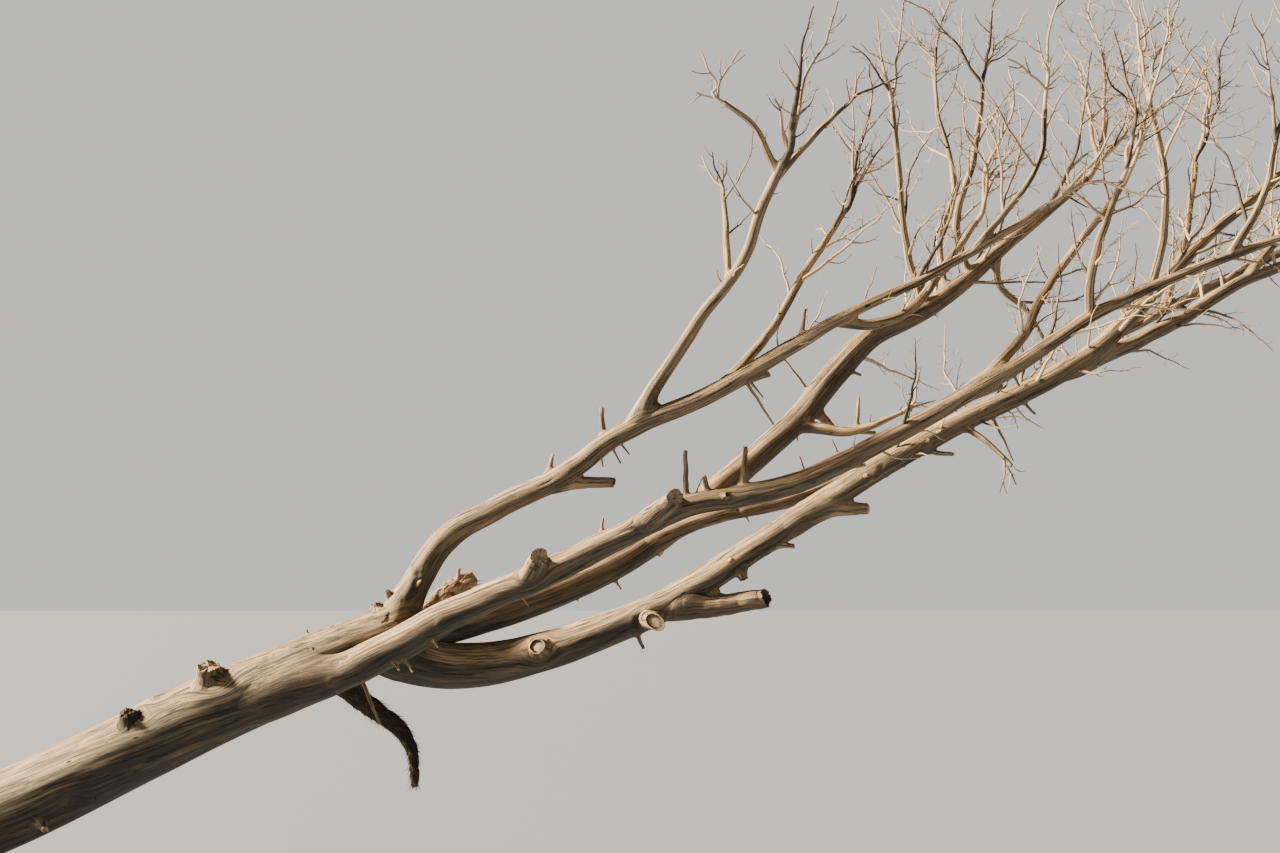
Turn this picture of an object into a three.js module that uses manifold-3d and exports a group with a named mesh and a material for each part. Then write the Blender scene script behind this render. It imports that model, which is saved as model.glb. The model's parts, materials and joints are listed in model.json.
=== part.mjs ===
// A leaning dead tree, barkless and silver grey, with a bare crown of broken limbs and fine twigs.
// Millimetres, +Z up. The origin is the middle of the trunk's flat cut at ground level.
// The trunk leans towards +X, and the boughs spread to both sides of the XZ plane.

import * as THREE from 'three';
import { mergeVertices } from 'three/addons/utils/BufferGeometryUtils.js';
import Module from 'manifold-3d';

const wasm = await Module();
wasm.setup();

// Driving dimensions

const gap = 0.3; // clearance between two pieces that meet
const limbFineness = 0.1; // how far a limb's surface may move when needless facets are merged
const twigFineness = 1;
const flareRise = 170; // height over which the root flare dies away
const flareReach = 0.34; // how much wider the foot is, as a share of the radius
const flareLobes = 5; // buttresses round the foot
const collarReach = 0.28; // how much a limb swells where it leaves its bearer
const longestStep = 260; // longest stretch between two rings of a limb
const shortestStep = 130;
const stepPerRadius = 6; // stretch between rings, in root radii
const stemStraight = 45; // straight start of a mass's stem, in line with its bough's tip
const leaderTip = 3; // radius at the end of a leader
const twigTip = 2.4; // radius at the end of a side twig
const leaderStep = 190; // stretch of a leader between two rings
const twigSpacing = 165; // stretch of a leader that carries one side twig
const twigShare = 0.5; // length of the lowest side twig, as a share of its leader
const twigShortest = 70;
const twigBends = 240; // a side twig longer than this has a ring at its knee
const twigClearance = 14; // room between a twig and any limb
const borderClearance = 12; // room between a twig and a neighbouring mass's space
const goldenAngle = 2.39996;

// The limbs. Each one leaves `from` at the share `at` of that limb's length, or starts its own path,
// runs through the points of `path` and tapers through the radii of `radii`, spaced evenly.
// Stubs are what is left of lost side limbs: the share of the length where they stand, their reach
// from the limb's middle line, and their radii at the root and the broken end.

const limbs = {
  trunk: {
    path: [[-180, 0, -260], [0, 0, 0], [90, 0, 130], [300, 0, 265], [820, -10, 455], [1620, -50, 835],
      [2020, -70, 1012], [2420, -90, 1195]],
    radii: [165, 158, 151, 150, 140, 100],
    stubs: [
      { at: 0.72, reach: [40, -150, 190], radii: [62, 51] },
      { at: 0.608, reach: [30, -125, 155], radii: [34, 28] },
    ],
  },
  low_bough: {
    from: 'trunk', at: 0.94,
    path: [[2610, 40, 1030], [2980, 70, 1080], [3440, 30, 1250], [3810, -30, 1470], [4270, -70, 1770],
      [4690, -90, 2010], [5110, -90, 2210], [5350, -80, 2370], [5800, -20, 2810], [6260, 60, 3190]],
    radii: [100, 92, 76, 60, 52, 49, 46, 42, 32, 24, 18],
    stubs: [
      { at: 0.162, reach: [0, -102, 32], radii: [46, 34] },
      { at: 0.257, reach: [60, -105, -22], radii: [42, 32] },
      { at: 0.27, reach: [460, -100, 50], radii: [48, 38] },
      { at: 0.357, reach: [25, -25, -85], radii: [25, 18] },
      { at: 0.367, reach: [190, -50, 25], radii: [18, 10] },
      { at: 0.39, reach: [400, -45, 120], radii: [38, 24] },
    ],
  },
  front_bough: {
    from: 'trunk', at: 0.71,
    path: [[1890, -110, 905], [2015, -130, 955], [2205, -160, 1010], [2435, -205, 1115], [2660, -265, 1243],
      [3090, -340, 1430], [3550, -420, 1640], [4010, -480, 1750], [4750, -600, 2130], [5120, -660, 2370],
      [5550, -720, 2550], [6150, -800, 2750]],
    radii: [62, 74, 57, 46, 38, 29, 19, 11],
    stubs: [
      { at: 0.294, reach: [60, -110, 95], radii: [42, 33] },
      { at: 0.359, reach: [14, -20, 125], radii: [12, 6] },
      { at: 0.388, reach: [160, -115, 120], radii: [42, 31] },
      { at: 0.433, reach: [-3, -10, 215], radii: [13, 8] },
      { at: 0.452, reach: [-25, -20, 92], radii: [11, 9] },
      { at: 0.477, reach: [12, -15, 185], radii: [21, 8] },
    ],
  },
  back_bough: {
    from: 'trunk', at: 0.965,
    path: [[2610, 60, 1190], [2970, 160, 1305], [3270, 240, 1435], [3530, 320, 1618], [4090, 480, 2090],
      [4490, 600, 2530], [4810, 700, 2710], [5110, 800, 2960], [5690, 960, 3440]],
    radii: [68, 63, 61, 59, 40, 21],
    stubs: [
      { at: 0.3, reach: [28, -35, -62], radii: [22, 17] },
      { at: 0.53, reach: [110, 60, -90], radii: [26, 17] },
    ],
  },
  upper_bough: {
    from: 'trunk', at: 0.985,
    path: [[2470, -110, 1330], [2640, -180, 1560], [3090, -330, 1780], [3350, -420, 1950],
      [3710, -520, 2100], [4150, -650, 2340], [4400, -730, 2450], [4880, -860, 2710]],
    radii: [62, 48, 38, 31, 19, 13],
    stubs: [
      { at: 0.301, reach: [28, -10, 115], radii: [20, 6] },
      { at: 0.29, reach: [300, -30, 20], radii: [26, 20] },
      { at: 0.392, reach: [0, 0, 150], radii: [14, 9] },
    ],
  },
  broken_limb: {
    from: 'back_bough', at: 0.03,
    path: [[2570, 90, 1312], [2680, 155, 1390]],
    radii: [43, 42, 37],
    stubs: [
      { at: 0.8, reach: [10, 0, 80], radii: [10, 7] },
    ],
  },
  hanging_limb: {
    from: 'trunk', at: 0.885,
    path: [[2320, 20, 850], [2420, 50, 768], [2460, 60, 690], [2470, 70, 540]],
    radii: [46, 43, 36, 26, 12],
  },
  link_bough: {
    from: 'back_bough', at: 0.28,
    path: [[3620, 240, 1630], [4100, 230, 1750], [4550, 260, 1950], [5020, 310, 2200], [6020, 470, 2730],
      [7000, 640, 3200]],
    radii: [38, 31, 28, 25, 20, 15],
  },
  right_bough: {
    from: 'low_bough', at: 0.68,
    path: [[5440, 0, 2360], [5760, 110, 2510], [6140, 240, 2730], [6700, 400, 2950]],
    radii: [36, 32, 27, 19],
  },
  side_limb: {
    from: 'back_bough', at: 0.5,
    path: [[4350, 400, 2065], [4580, 300, 2130]],
    radii: [29, 23, 12],
    stubs: [
      { at: 0.57, reach: [10, -10, 150], radii: [13, 6] },
    ],
  },
  upper_left: {
    from: 'upper_bough', at: 0.43,
    path: [[3630, -560, 2360], [3780, -660, 2550], [3860, -760, 2760], [3920, -850, 2880]],
    radii: [32, 25, 21, 17],
  },
  upper_left_side: {
    from: 'upper_left', at: 0.58,
    path: [[3730, -520, 2760], [3730, -470, 2890]],
    radii: [16, 13, 9],
  },
  upper_left_arm: {
    from: 'upper_left', at: 0.96,
    path: [[3800, -880, 3020], [3700, -900, 3090]],
    radii: [14, 12, 8],
  },
  upper_left_fork: {
    from: 'upper_left', at: 0.93,
    path: [[4030, -820, 2980], [4130, -790, 3090]],
    radii: [14, 12, 9],
  },
  middle_riser: {
    from: 'upper_bough', at: 0.555,
    path: [[3890, -400, 2320], [4060, -260, 2610], [4270, -90, 2940]],
    radii: [22, 18, 16, 13],
  },
  cross_limb: {
    from: 'upper_bough', at: 0.72,
    path: [[4280, -610, 2330], [4410, -570, 2380], [4610, -470, 2610], [4740, -400, 2790]],
    radii: [22, 19, 16, 12],
  },
  front_riser: {
    from: 'front_bough', at: 0.66,
    path: [[4850, -540, 2290], [4970, -490, 2490], [5330, -380, 2930]],
    radii: [24, 19, 16, 12],
  },
  front_upright: {
    from: 'front_bough', at: 0.77,
    path: [[5070, -720, 2490], [5140, -880, 2800]],
    radii: [19, 16, 11],
  },
  back_shoot_left: {
    from: 'back_bough', at: 0.715,
    path: [[4680, 620, 3050], [4610, 480, 3640]],
    radii: [20, 16, 12],
  },
  back_shoot_far: {
    from: 'back_bough', at: 0.75,
    path: [[4900, 830, 3110], [5000, 900, 3390], [4950, 1000, 3830]],
    radii: [19, 17, 14, 12],
  },
  back_shoot_right: {
    from: 'back_bough', at: 0.79,
    path: [[4950, 700, 3140], [5020, 620, 3420], [5050, 520, 3740]],
    radii: [20, 18, 15, 12],
  },
  back_droop: {
    from: 'back_bough', at: 0.84,
    path: [[5190, 860, 2870], [5340, 900, 2740], [5430, 920, 2590]],
    radii: [22, 18, 14, 10],
  },
  upper_shoot: {
    from: 'upper_bough', at: 0.9,
    path: [[4830, -930, 2860], [4830, -1000, 3020]],
    radii: [14, 11, 9],
  },
  low_riser: {
    from: 'low_bough', at: 0.795,
    path: [[5600, -140, 2820], [5580, -200, 3120], [5530, -240, 3370]],
    radii: [21, 17, 15, 12],
  },
  low_droop: {
    from: 'low_bough', at: 0.585,
    path: [[4810, -150, 1950], [4880, -180, 1870]],
    radii: [15, 12, 9],
  },
  link_riser: {
    from: 'link_bough', at: 0.67,
    path: [[5980, 520, 2990], [6090, 600, 3390]],
    radii: [21, 18, 14],
  },
  front_tip_riser: {
    from: 'front_bough', at: 0.88,
    path: [[5670, -820, 2750], [5690, -900, 2940]],
    radii: [16, 13, 10],
  },
  right_riser: {
    from: 'right_bough', at: 0.64,
    path: [[6370, 300, 3040], [6460, 330, 3360]],
    radii: [21, 17, 13],
  },
};

// The crown. Each mass of twigs carries one limb on from its tip. Its first point is where its stem
// ends, and the others are the ends of the leaders that fork from that stem.

const crown = {
  upper_left: [[4030, -1000, 3410], [3890, -930, 3090], [4120, -940, 3450]],
  upper_left_arm: [[3620, -940, 3250], [3610, -850, 3140], [3760, -960, 3270]],
  upper_left_fork: [[4400, -770, 3250], [4260, -720, 3300], [4200, -840, 3150]],
  upper_left_side: [[3660, -400, 3060], [3740, -420, 3050], [3690, -480, 3060]],
  middle_riser: [[4410, -20, 3640], [4500, 20, 3330], [4300, -130, 3440]],
  cross_limb: [[4930, -320, 3470], [4690, -480, 3290], [5020, -250, 3150]],
  upper_bough: [[5110, -960, 2990], [5040, -900, 3270], [5220, -1030, 2690]],
  back_shoot_left: [[4530, 420, 4050], [4700, 560, 4350], [4390, 350, 3890]],
  back_shoot_far: [[5140, 1130, 4710], [4970, 1080, 4340], [4880, 1180, 4420]],
  back_shoot_right: [[5130, 430, 4250], [4670, 590, 4260], [5310, 640, 4180]],
  upper_shoot: [[4860, -1140, 3400], [4800, -1070, 3280], [4660, -1120, 3150]],
  front_riser: [[5560, -430, 3720], [5410, -470, 3380], [5210, -560, 3440]],
  front_upright: [[5220, -970, 3100], [5070, -1040, 3290], [5390, -940, 3220]],
  low_riser: [[5530, -190, 3820], [5690, -290, 3920], [5480, -130, 4080]],
  link_riser: [[6460, 760, 4320], [6200, 680, 4090], [6000, 580, 4180]],
  front_tip_riser: [[5730, -980, 3250], [5570, -1050, 3360], [5900, -960, 3330]],
  right_riser: [[6590, 390, 3980], [6830, 450, 4210], [6360, 300, 4090]],
  front_bough: [[6520, -870, 2920], [6340, -980, 3120], [6620, -930, 2690]],
  back_bough: [[5910, 1080, 4170], [6160, 1150, 3980], [5600, 1010, 4250], [5860, 1150, 4690]],
  low_bough: [[6820, 110, 3700], [6650, 60, 4080], [7050, 170, 3420]],
  right_bough: [[7370, 500, 3210], [7280, 560, 3650], [7430, 430, 2890]],
  link_bough: [[7590, 760, 3520], [7520, 800, 4020], [7330, 730, 4170]],
  side_limb: [[4710, 250, 2190], [4640, 230, 2300]],
  back_droop: [[5500, 940, 2410], [5340, 900, 2390]],
  low_droop: [[4920, -200, 1760], [4870, -150, 1730]],
};

const barkedLimbs = ['broken_limb', 'hanging_limb'];

const finishes = {
  bare_wood: new THREE.MeshStandardMaterial({ color: '#b3a083', roughness: 0.85, metalness: 0 }),
  old_bark: new THREE.MeshStandardMaterial({ color: '#6a4f3c', roughness: 0.95, metalness: 0 }),
  bare_twigs: new THREE.MeshStandardMaterial({ color: '#a39680', roughness: 0.9, metalness: 0 }),
};

// Small helpers

const vector = ([x, y, z]) => new THREE.Vector3(x, y, z);

const smoothLine = (points) => new THREE.CatmullRomCurve3(points, false, 'centripetal');

// The value at the share `s` of a list whose values are spaced evenly.
function alongList(values, s) {
  const place = s * (values.length - 1);
  const index = Math.min(Math.floor(place), values.length - 2);
  return THREE.MathUtils.lerp(values[index], values[index + 1], place - index);
}

// A seeded stream of numbers from 0 to 1.
function randomStream(seed) {
  let state = seed >>> 0;
  return () => {
    state = (state + 0x6d2b79f5) >>> 0;
    let mixed = Math.imul(state ^ (state >>> 15), state | 1);
    mixed ^= mixed + Math.imul(mixed ^ (mixed >>> 7), mixed | 61);
    return ((mixed ^ (mixed >>> 14)) >>> 0) / 4294967296;
  };
}

// The seed of a branch's own child, so that finer twigs never shift the coarser ones.
const childSeed = (seed, index) => Math.imul(seed ^ (index + 1), 2654435761) >>> 0;

// Any direction square to `axis`, turned round it by `angle`.
function squareTo(axis, angle) {
  const helper = Math.abs(axis.z) < 0.9 ? new THREE.Vector3(0, 0, 1) : new THREE.Vector3(1, 0, 0);
  const side = helper.addScaledVector(axis, -helper.dot(axis)).normalize();
  return side.applyAxisAngle(axis, angle);
}

// Tubes

// Points and square frames along a curve, turned as little as possible from ring to ring.
function framesAlong(curve, rings, firstTangent) {
  const frames = [];
  for (let ring = 0; ring <= rings; ring += 1) {
    const s = ring / rings;
    const tangent = ring === 0 && firstTangent ? firstTangent.clone() : curve.getTangentAt(s);
    const before = ring === 0 ? squareTo(tangent, 0) : frames[ring - 1].normal;
    const normal = before.clone().addScaledVector(tangent, -before.dot(tangent)).normalize();
    const binormal = tangent.clone().cross(normal);
    frames.push({ s, point: curve.getPointAt(s), tangent, normal, binormal });
  }
  return frames;
}

// A cylinder bent along a curve. `radiusAt(s, angle, point)` gives its radius, and `grow` makes it
// larger all over, for cutting a neighbour clear of it.
function bentTube({ curve, radiusAt, sides, rings, firstTangent, grow = 0 }) {
  const frames = framesAlong(curve, rings, firstTangent);
  const geometry = new THREE.CylinderGeometry(1, 1, 1, sides, rings);
  const places = geometry.getAttribute('position');
  for (let i = 0; i < places.count; i += 1) {
    const x = places.getX(i);
    const z = places.getZ(i);
    const ring = Math.round((places.getY(i) + 0.5) * rings);
    const { s, point, tangent, normal, binormal } = frames[ring];
    const radius = Math.hypot(x, z) > 0.5 ? radiusAt(s, Math.atan2(z, x), point) + grow : 0;
    const angle = Math.atan2(z, x);
    const place = point.clone();
    place.addScaledVector(binormal, Math.cos(angle) * radius);
    place.addScaledVector(normal, Math.sin(angle) * radius);
    if (ring === 0) place.addScaledVector(tangent, -grow);
    if (ring === rings) place.addScaledVector(tangent, grow);
    places.setXYZ(i, place.x, place.y, place.z);
  }
  return toSolid(geometry);
}

function toSolid(geometry) {
  geometry.deleteAttribute('normal');
  geometry.deleteAttribute('uv');
  const merged = mergeVertices(geometry);
  const mesh = new wasm.Mesh({
    numProp: 3,
    vertProperties: new Float32Array(merged.getAttribute('position').array),
    triVerts: new Uint32Array(merged.getIndex().array),
  });
  return new wasm.Manifold(mesh);
}

// The outer shell of the largest body: loose scraps are dropped and sealed hollows are filled.
const largestPiece = (solid) => solid.decompose().sort((a, b) => b.volume() - a.volume())[0];

function toMesh(name, solid, material) {
  const { vertProperties, triVerts } = solid.getMesh();
  const geometry = new THREE.BufferGeometry();
  geometry.setAttribute('position', new THREE.BufferAttribute(vertProperties, 3));
  geometry.setIndex(new THREE.BufferAttribute(triVerts, 1));
  geometry.computeVertexNormals();
  const mesh = new THREE.Mesh(geometry, material);
  mesh.name = name;
  return mesh;
}

// Limbs

// The middle line of every limb, from its bearer's middle line to its tip.
const lines = {};
for (const [name, limb] of Object.entries(limbs)) {
  const start = limb.from ? [lines[limb.from].getPointAt(limb.at)] : [];
  lines[name] = smoothLine([...start, ...limb.path.map(vector)]);
}

const sidesFor = (radius) => (radius > 105 ? 16 : radius > 60 ? 11 : radius > 28 ? 8 : 6);

const stepFor = (radius) => THREE.MathUtils.clamp(radius * stepPerRadius, shortestStep, longestStep);

// A limb swells into a collar at its root, and the trunk spreads into buttresses at the ground.
function limbRadius(name) {
  const { from, radii } = limbs[name];
  const length = lines[name].getLength();
  if (!from) {
    return (s, angle, point) => {
      const flare = flareReach * Math.exp(-Math.max(point.z, 0) / flareRise);
      return alongList(radii, s) * (1 + flare * (1 + 0.6 * Math.cos(flareLobes * angle)));
    };
  }
  return (s) => alongList(radii, s) * (1 + collarReach * Math.exp((-s * length) / (2.5 * radii[0])));
}

function limbTube(name, grow) {
  const curve = lines[name];
  const { radii } = limbs[name];
  const rings = Math.max(3, Math.round(curve.getLength() / stepFor(radii[0])));
  return bentTube({ curve, radiusAt: limbRadius(name), sides: sidesFor(radii[0]), rings, grow });
}

// A stub is sunk in the limb down to its middle line.
function stubTube(name, { at, reach, radii }, grow) {
  const root = lines[name].getPointAt(at);
  const curve = new THREE.LineCurve3(root, root.clone().add(vector(reach)));
  const radiusAt = (s) => alongList(radii, s);
  return bentTube({ curve, radiusAt, sides: radii[0] > 20 ? 7 : 5, rings: 1, grow });
}

function limbWithStubs(name, grow = 0) {
  const stubs = limbs[name].stubs ?? [];
  return stubs.reduce((solid, stub) => solid.add(stubTube(name, stub, grow)), limbTube(name, grow));
}

// The flat cut at ground level.
function cutAtGround(solid) {
  const block = new THREE.BoxGeometry(2000, 2000, 1000);
  block.translate(0, 0, -500);
  return solid.subtract(toSolid(block));
}

// Each limb is cut clear of all the limbs before it.
function makeLimbs() {
  const names = Object.keys(limbs);
  const grown = names.map((name) => limbWithStubs(name, gap));
  return names.map((name, index) => {
    const whole = grown.slice(0, index).reduce((solid, other) => solid.subtract(other), limbWithStubs(name));
    const cut = name === 'trunk' ? cutAtGround(whole) : largestPiece(whole);
    const solid = cut.simplify(limbFineness);
    const finish = barkedLimbs.includes(name) ? finishes.old_bark : finishes.bare_wood;
    return toMesh(name, solid, finish);
  });
}

// Crown

// A leader bends from its first direction to its end, with a slight seeded waver.
function leaderLine(start, direction, end, straight, seed) {
  const random = randomStream(seed);
  const chord = end.clone().sub(start);
  const length = chord.length();
  const pull = direction.clone().multiplyScalar(length).sub(chord);
  const waver = (share) => squareTo(chord.clone().normalize(), random() * Math.PI * 2)
    .multiplyScalar(length * share);
  const knee = start.clone().addScaledVector(chord, 0.38).addScaledVector(pull, 0.13).add(waver(0.045));
  const elbow = start.clone().addScaledVector(chord, 0.72).addScaledVector(pull, 0.05).add(waver(0.04));
  const lead = straight > 0 ? [start.clone().addScaledVector(direction, straight)] : [];
  return smoothLine([start, ...lead, knee, elbow, end]);
}

// The point at the share `s` of a tube's own straight stretches, where a twig's root is well sunk.
function onTube({ curve, rings }, s) {
  const ring = Math.min(Math.floor(s * rings), rings - 1);
  return curve.getPointAt(ring / rings).lerp(curve.getPointAt((ring + 1) / rings), s * rings - ring);
}

const leaderRings = (curve) => Math.max(3, Math.round(curve.getLength() / leaderStep));

// The stem and leaders of one mass, before any side twig.
function massLeaders(name, index) {
  const bearer = lines[name];
  const { radii } = limbs[name];
  const seed = childSeed(4000 + index, 0);
  const direction = bearer.getTangentAt(1);
  const root = bearer.getPointAt(1).addScaledVector(direction, gap);
  const [stemEnd, ...ends] = crown[name].map(vector);
  const stemLine = leaderLine(root, direction, stemEnd, stemStraight, seed);
  const stemRoot = radii[radii.length - 1];
  const stemRadius = (s) => THREE.MathUtils.lerp(stemRoot, leaderTip, s ** 0.8);
  const stem = {
    curve: stemLine, radiusAt: stemRadius, seed, sides: 4, rings: leaderRings(stemLine), firstTangent: direction,
  };
  const forks = ends.map((end, i) => {
    const at = 0.1 + 0.11 * i;
    const start = onTube(stem, at);
    const rootRadius = 0.82 * stemRadius(at);
    const curve = leaderLine(start, stemLine.getTangentAt(at), end, 0, childSeed(seed, 50 + i));
    const radiusAt = (s) => THREE.MathUtils.lerp(rootRadius, leaderTip, s ** 0.8);
    return { curve, radiusAt, seed: childSeed(seed, 60 + i), sides: 3, rings: leaderRings(curve) };
  });
  return [stem, ...forks];
}

const masses = Object.keys(crown).map((name, index) => ({ name, leaders: massLeaders(name, index) }));

// Distance from a point to a chain of points, less the chain's radius there.
function clearanceTo(point, chain) {
  let best = Infinity;
  const nearest = new THREE.Vector3();
  for (let i = 1; i < chain.length; i += 1) {
    const span = new THREE.Line3(chain[i - 1].point, chain[i].point);
    const s = span.closestPointToPointParameter(point, true);
    const radius = THREE.MathUtils.lerp(chain[i - 1].radius, chain[i].radius, s);
    best = Math.min(best, span.at(s, nearest).distanceTo(point) - radius);
  }
  return best;
}

const chainOf = (curve, radiusAt, count) => curve.getSpacedPoints(count)
  .map((point, i) => ({ point, radius: radiusAt(i / count) }));

const limbChains = Object.keys(limbs)
  .map((name) => chainOf(lines[name], (s) => alongList(limbs[name].radii, s), 30));
const leaderChains = masses.map(({ leaders }) => leaders.map(({ curve }) => chainOf(curve, () => 0, 12)));

// A point lies in its mass's space where it is clear of every limb, above the ground, and nearer to
// its own leaders than to those of any other mass.
function inOwnSpace(point, radius, massIndex) {
  if (point.z < radius) return false;
  if (limbChains.some((chain) => clearanceTo(point, chain) < radius + twigClearance)) return false;
  const distances = leaderChains.map((chains) => Math.min(...chains.map((c) => clearanceTo(point, c))));
  const own = distances[massIndex];
  return distances.every((other, i) => i === massIndex || own < other - radius - borderClearance);
}

// Side twigs stand round a leader in golden-angle turns, shorter towards its end, and bend upwards.
function sideTwigs(leader, massIndex) {
  const length = leader.curve.getLength();
  const count = Math.max(2, Math.round(length / twigSpacing));
  const twigs = [];
  for (let i = 0; i < count; i += 1) {
    const random = randomStream(childSeed(leader.seed, i));
    const s = 0.2 + (0.72 * (i + 0.2 + 0.6 * random())) / count;
    const root = onTube(leader, s);
    const tangent = leader.curve.getTangentAt(s);
    const lean = 0.6 + 0.4 * random();
    const side = squareTo(tangent, i * goldenAngle + random());
    const direction = tangent.multiplyScalar(Math.cos(lean)).addScaledVector(side, Math.sin(lean));
    const reach = Math.max(twigShortest, length * twigShare * (1.05 - s)) * (0.7 + 0.5 * random());
    const knee = root.clone().addScaledVector(direction, reach * 0.55);
    const end = root.clone().addScaledVector(direction, reach);
    end.z += reach * 0.18;
    const rootRadius = Math.max(0.62 * leader.radiusAt(s), twigTip);
    const curve = smoothLine([root, knee, end]);
    const radiusAt = (share) => THREE.MathUtils.lerp(rootRadius, twigTip, share);
    const kept = curve.getSpacedPoints(6).every((point) => inOwnSpace(point, rootRadius, massIndex));
    if (kept) twigs.push({ curve, radiusAt, sides: 3, rings: reach > twigBends ? 2 : 1 });
  }
  return twigs;
}

function makeMass({ name, leaders }, massIndex) {
  const twigs = leaders.flatMap((leader) => sideTwigs(leader, massIndex));
  const joined = wasm.Manifold.union([...leaders, ...twigs].map(bentTube));
  const solid = largestPiece(joined).simplify(twigFineness);
  return toMesh(`${name}_twigs`, solid, finishes.bare_twigs);
}

const tree = new THREE.Group();
tree.add(...makeLimbs());
tree.add(...masses.map(makeMass));

export default tree;
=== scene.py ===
# %% [markdown]
# # A dead tree, limb by limb
#
# The tree died long ago, and most of its bark has gone, so the looks come from bare wood:
# long fluted grain that turns slowly round each limb, drying cracks, knots that the grain flows past, torn
# stubs, and a crown of dry twigs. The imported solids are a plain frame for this. Each limb here follows the
# middle line of its solid, so the fine surface lies where the solid is.

# %% Load the frame
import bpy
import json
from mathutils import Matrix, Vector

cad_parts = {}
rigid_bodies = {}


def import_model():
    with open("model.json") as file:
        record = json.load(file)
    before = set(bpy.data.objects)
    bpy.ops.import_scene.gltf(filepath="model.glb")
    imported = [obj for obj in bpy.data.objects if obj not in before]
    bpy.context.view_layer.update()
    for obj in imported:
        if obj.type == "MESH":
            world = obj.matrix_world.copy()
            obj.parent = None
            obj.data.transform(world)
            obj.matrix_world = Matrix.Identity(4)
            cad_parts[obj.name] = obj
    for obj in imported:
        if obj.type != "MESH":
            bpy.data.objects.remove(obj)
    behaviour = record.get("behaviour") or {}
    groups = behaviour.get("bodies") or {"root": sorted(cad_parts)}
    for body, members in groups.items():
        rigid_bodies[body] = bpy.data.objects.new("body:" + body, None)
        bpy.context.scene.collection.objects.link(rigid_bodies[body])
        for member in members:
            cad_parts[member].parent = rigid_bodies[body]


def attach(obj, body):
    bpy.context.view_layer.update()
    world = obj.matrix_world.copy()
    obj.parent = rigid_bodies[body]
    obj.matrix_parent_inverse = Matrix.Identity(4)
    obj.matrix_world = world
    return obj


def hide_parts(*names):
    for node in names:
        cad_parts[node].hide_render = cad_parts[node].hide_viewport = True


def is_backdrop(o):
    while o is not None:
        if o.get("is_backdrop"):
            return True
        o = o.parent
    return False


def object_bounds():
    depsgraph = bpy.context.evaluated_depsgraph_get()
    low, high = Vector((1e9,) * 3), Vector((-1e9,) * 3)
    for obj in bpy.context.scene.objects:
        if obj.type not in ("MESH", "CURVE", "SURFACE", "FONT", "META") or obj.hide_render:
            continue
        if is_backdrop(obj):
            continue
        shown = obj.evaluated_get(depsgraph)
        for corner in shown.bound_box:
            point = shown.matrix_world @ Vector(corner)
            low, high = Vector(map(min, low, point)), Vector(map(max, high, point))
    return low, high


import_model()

import copy
import itertools
import json
import math

import bpy
import numpy as np

cad_box = [list(corner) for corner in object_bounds()]
print("the solids' box in metres", [[round(v, 3) for v in corner] for corner in cad_box])

# %% [markdown]
# ## Camera, floor and light
#
# A wide lens stands at chest height and looks up a little along the far axis, so the trunk enters at the lower
# left and the boughs leave at the right. Studio light usually comes from large soft lamps. Here one far lamp
# stands low at the left, because raking light is what shows the relief of bare wood. The pale room round it
# fills the shade a little. The floor is plain and pale.

# %% Camera
eye = (3.4, -5.2, 1.3)
tilt_up = math.radians(7.94)
scene = bpy.context.scene


def add_object(name, data):
    """A new object in the scene."""
    made = bpy.data.objects.new(name, data)
    scene.collection.objects.link(made)
    return made


camera = add_object("camera", bpy.data.cameras.new("camera"))
camera.data.lens = 35
camera.data.sensor_width = 36
camera.location = eye
camera.rotation_euler = (math.radians(90) + tilt_up, 0, 0)
scene.camera = camera
print("camera at", eye)


# %% Light
light_from = (-0.89, 0.07, 0.45)
lamp_distance = 30
key = add_object("key_lamp", bpy.data.lights.new("key_lamp", "SUN"))
key.data.energy = 26
key.data.angle = math.radians(9)
key.data.color = (1.0, 0.81, 0.57)
key.location = np.multiply(light_from, lamp_distance)
key.rotation_euler = (math.acos(light_from[2]), 0, math.atan2(light_from[1], light_from[0]) + math.radians(90))

# The wall behind lights the tree only a little, but the camera sees it pale.
world = bpy.data.worlds.new("pale_room")
scene.world = world
world.use_nodes = True
wall_light = world.node_tree.nodes["Background"]
wall_light.inputs["Color"].default_value = (0.80, 0.81, 0.82, 1)
wall_light.inputs["Strength"].default_value = 0.075
wall = world.node_tree.nodes.new("ShaderNodeBackground")
wall.inputs["Color"].default_value = (0.80, 0.79, 0.77, 1)
wall.inputs["Strength"].default_value = 0.9
seen = world.node_tree.nodes.new("ShaderNodeLightPath")
either = world.node_tree.nodes.new("ShaderNodeMixShader")
world.node_tree.links.new(seen.outputs["Is Camera Ray"], either.inputs[0])
world.node_tree.links.new(wall_light.outputs[0], either.inputs[1])
world.node_tree.links.new(wall.outputs[0], either.inputs[2])
world.node_tree.links.new(either.outputs[0], world.node_tree.nodes["World Output"].inputs["Surface"])

# %% Floor
floor_half = 150
floor_mesh = bpy.data.meshes.new("floor")
corners = [(x, y, 0) for x, y in ((-1, -1), (1, -1), (1, 1), (-1, 1))]
floor_mesh.from_pydata([(x * floor_half, y * floor_half, z) for x, y, z in corners], [], [(0, 1, 2, 3)])
floor = add_object("floor", floor_mesh)
floor_paint = bpy.data.materials.new("floor_paint")
floor_paint.use_nodes = True
floor_shader = floor_paint.node_tree.nodes["Principled BSDF"]
floor_shader.inputs["Base Color"].default_value = (0.215, 0.245, 0.305, 1)
floor_shader.inputs["Roughness"].default_value = 0.9
floor_mesh.materials.append(floor_paint)
floor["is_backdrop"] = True
print("floor", 2 * floor_half, "metres wide")

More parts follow.
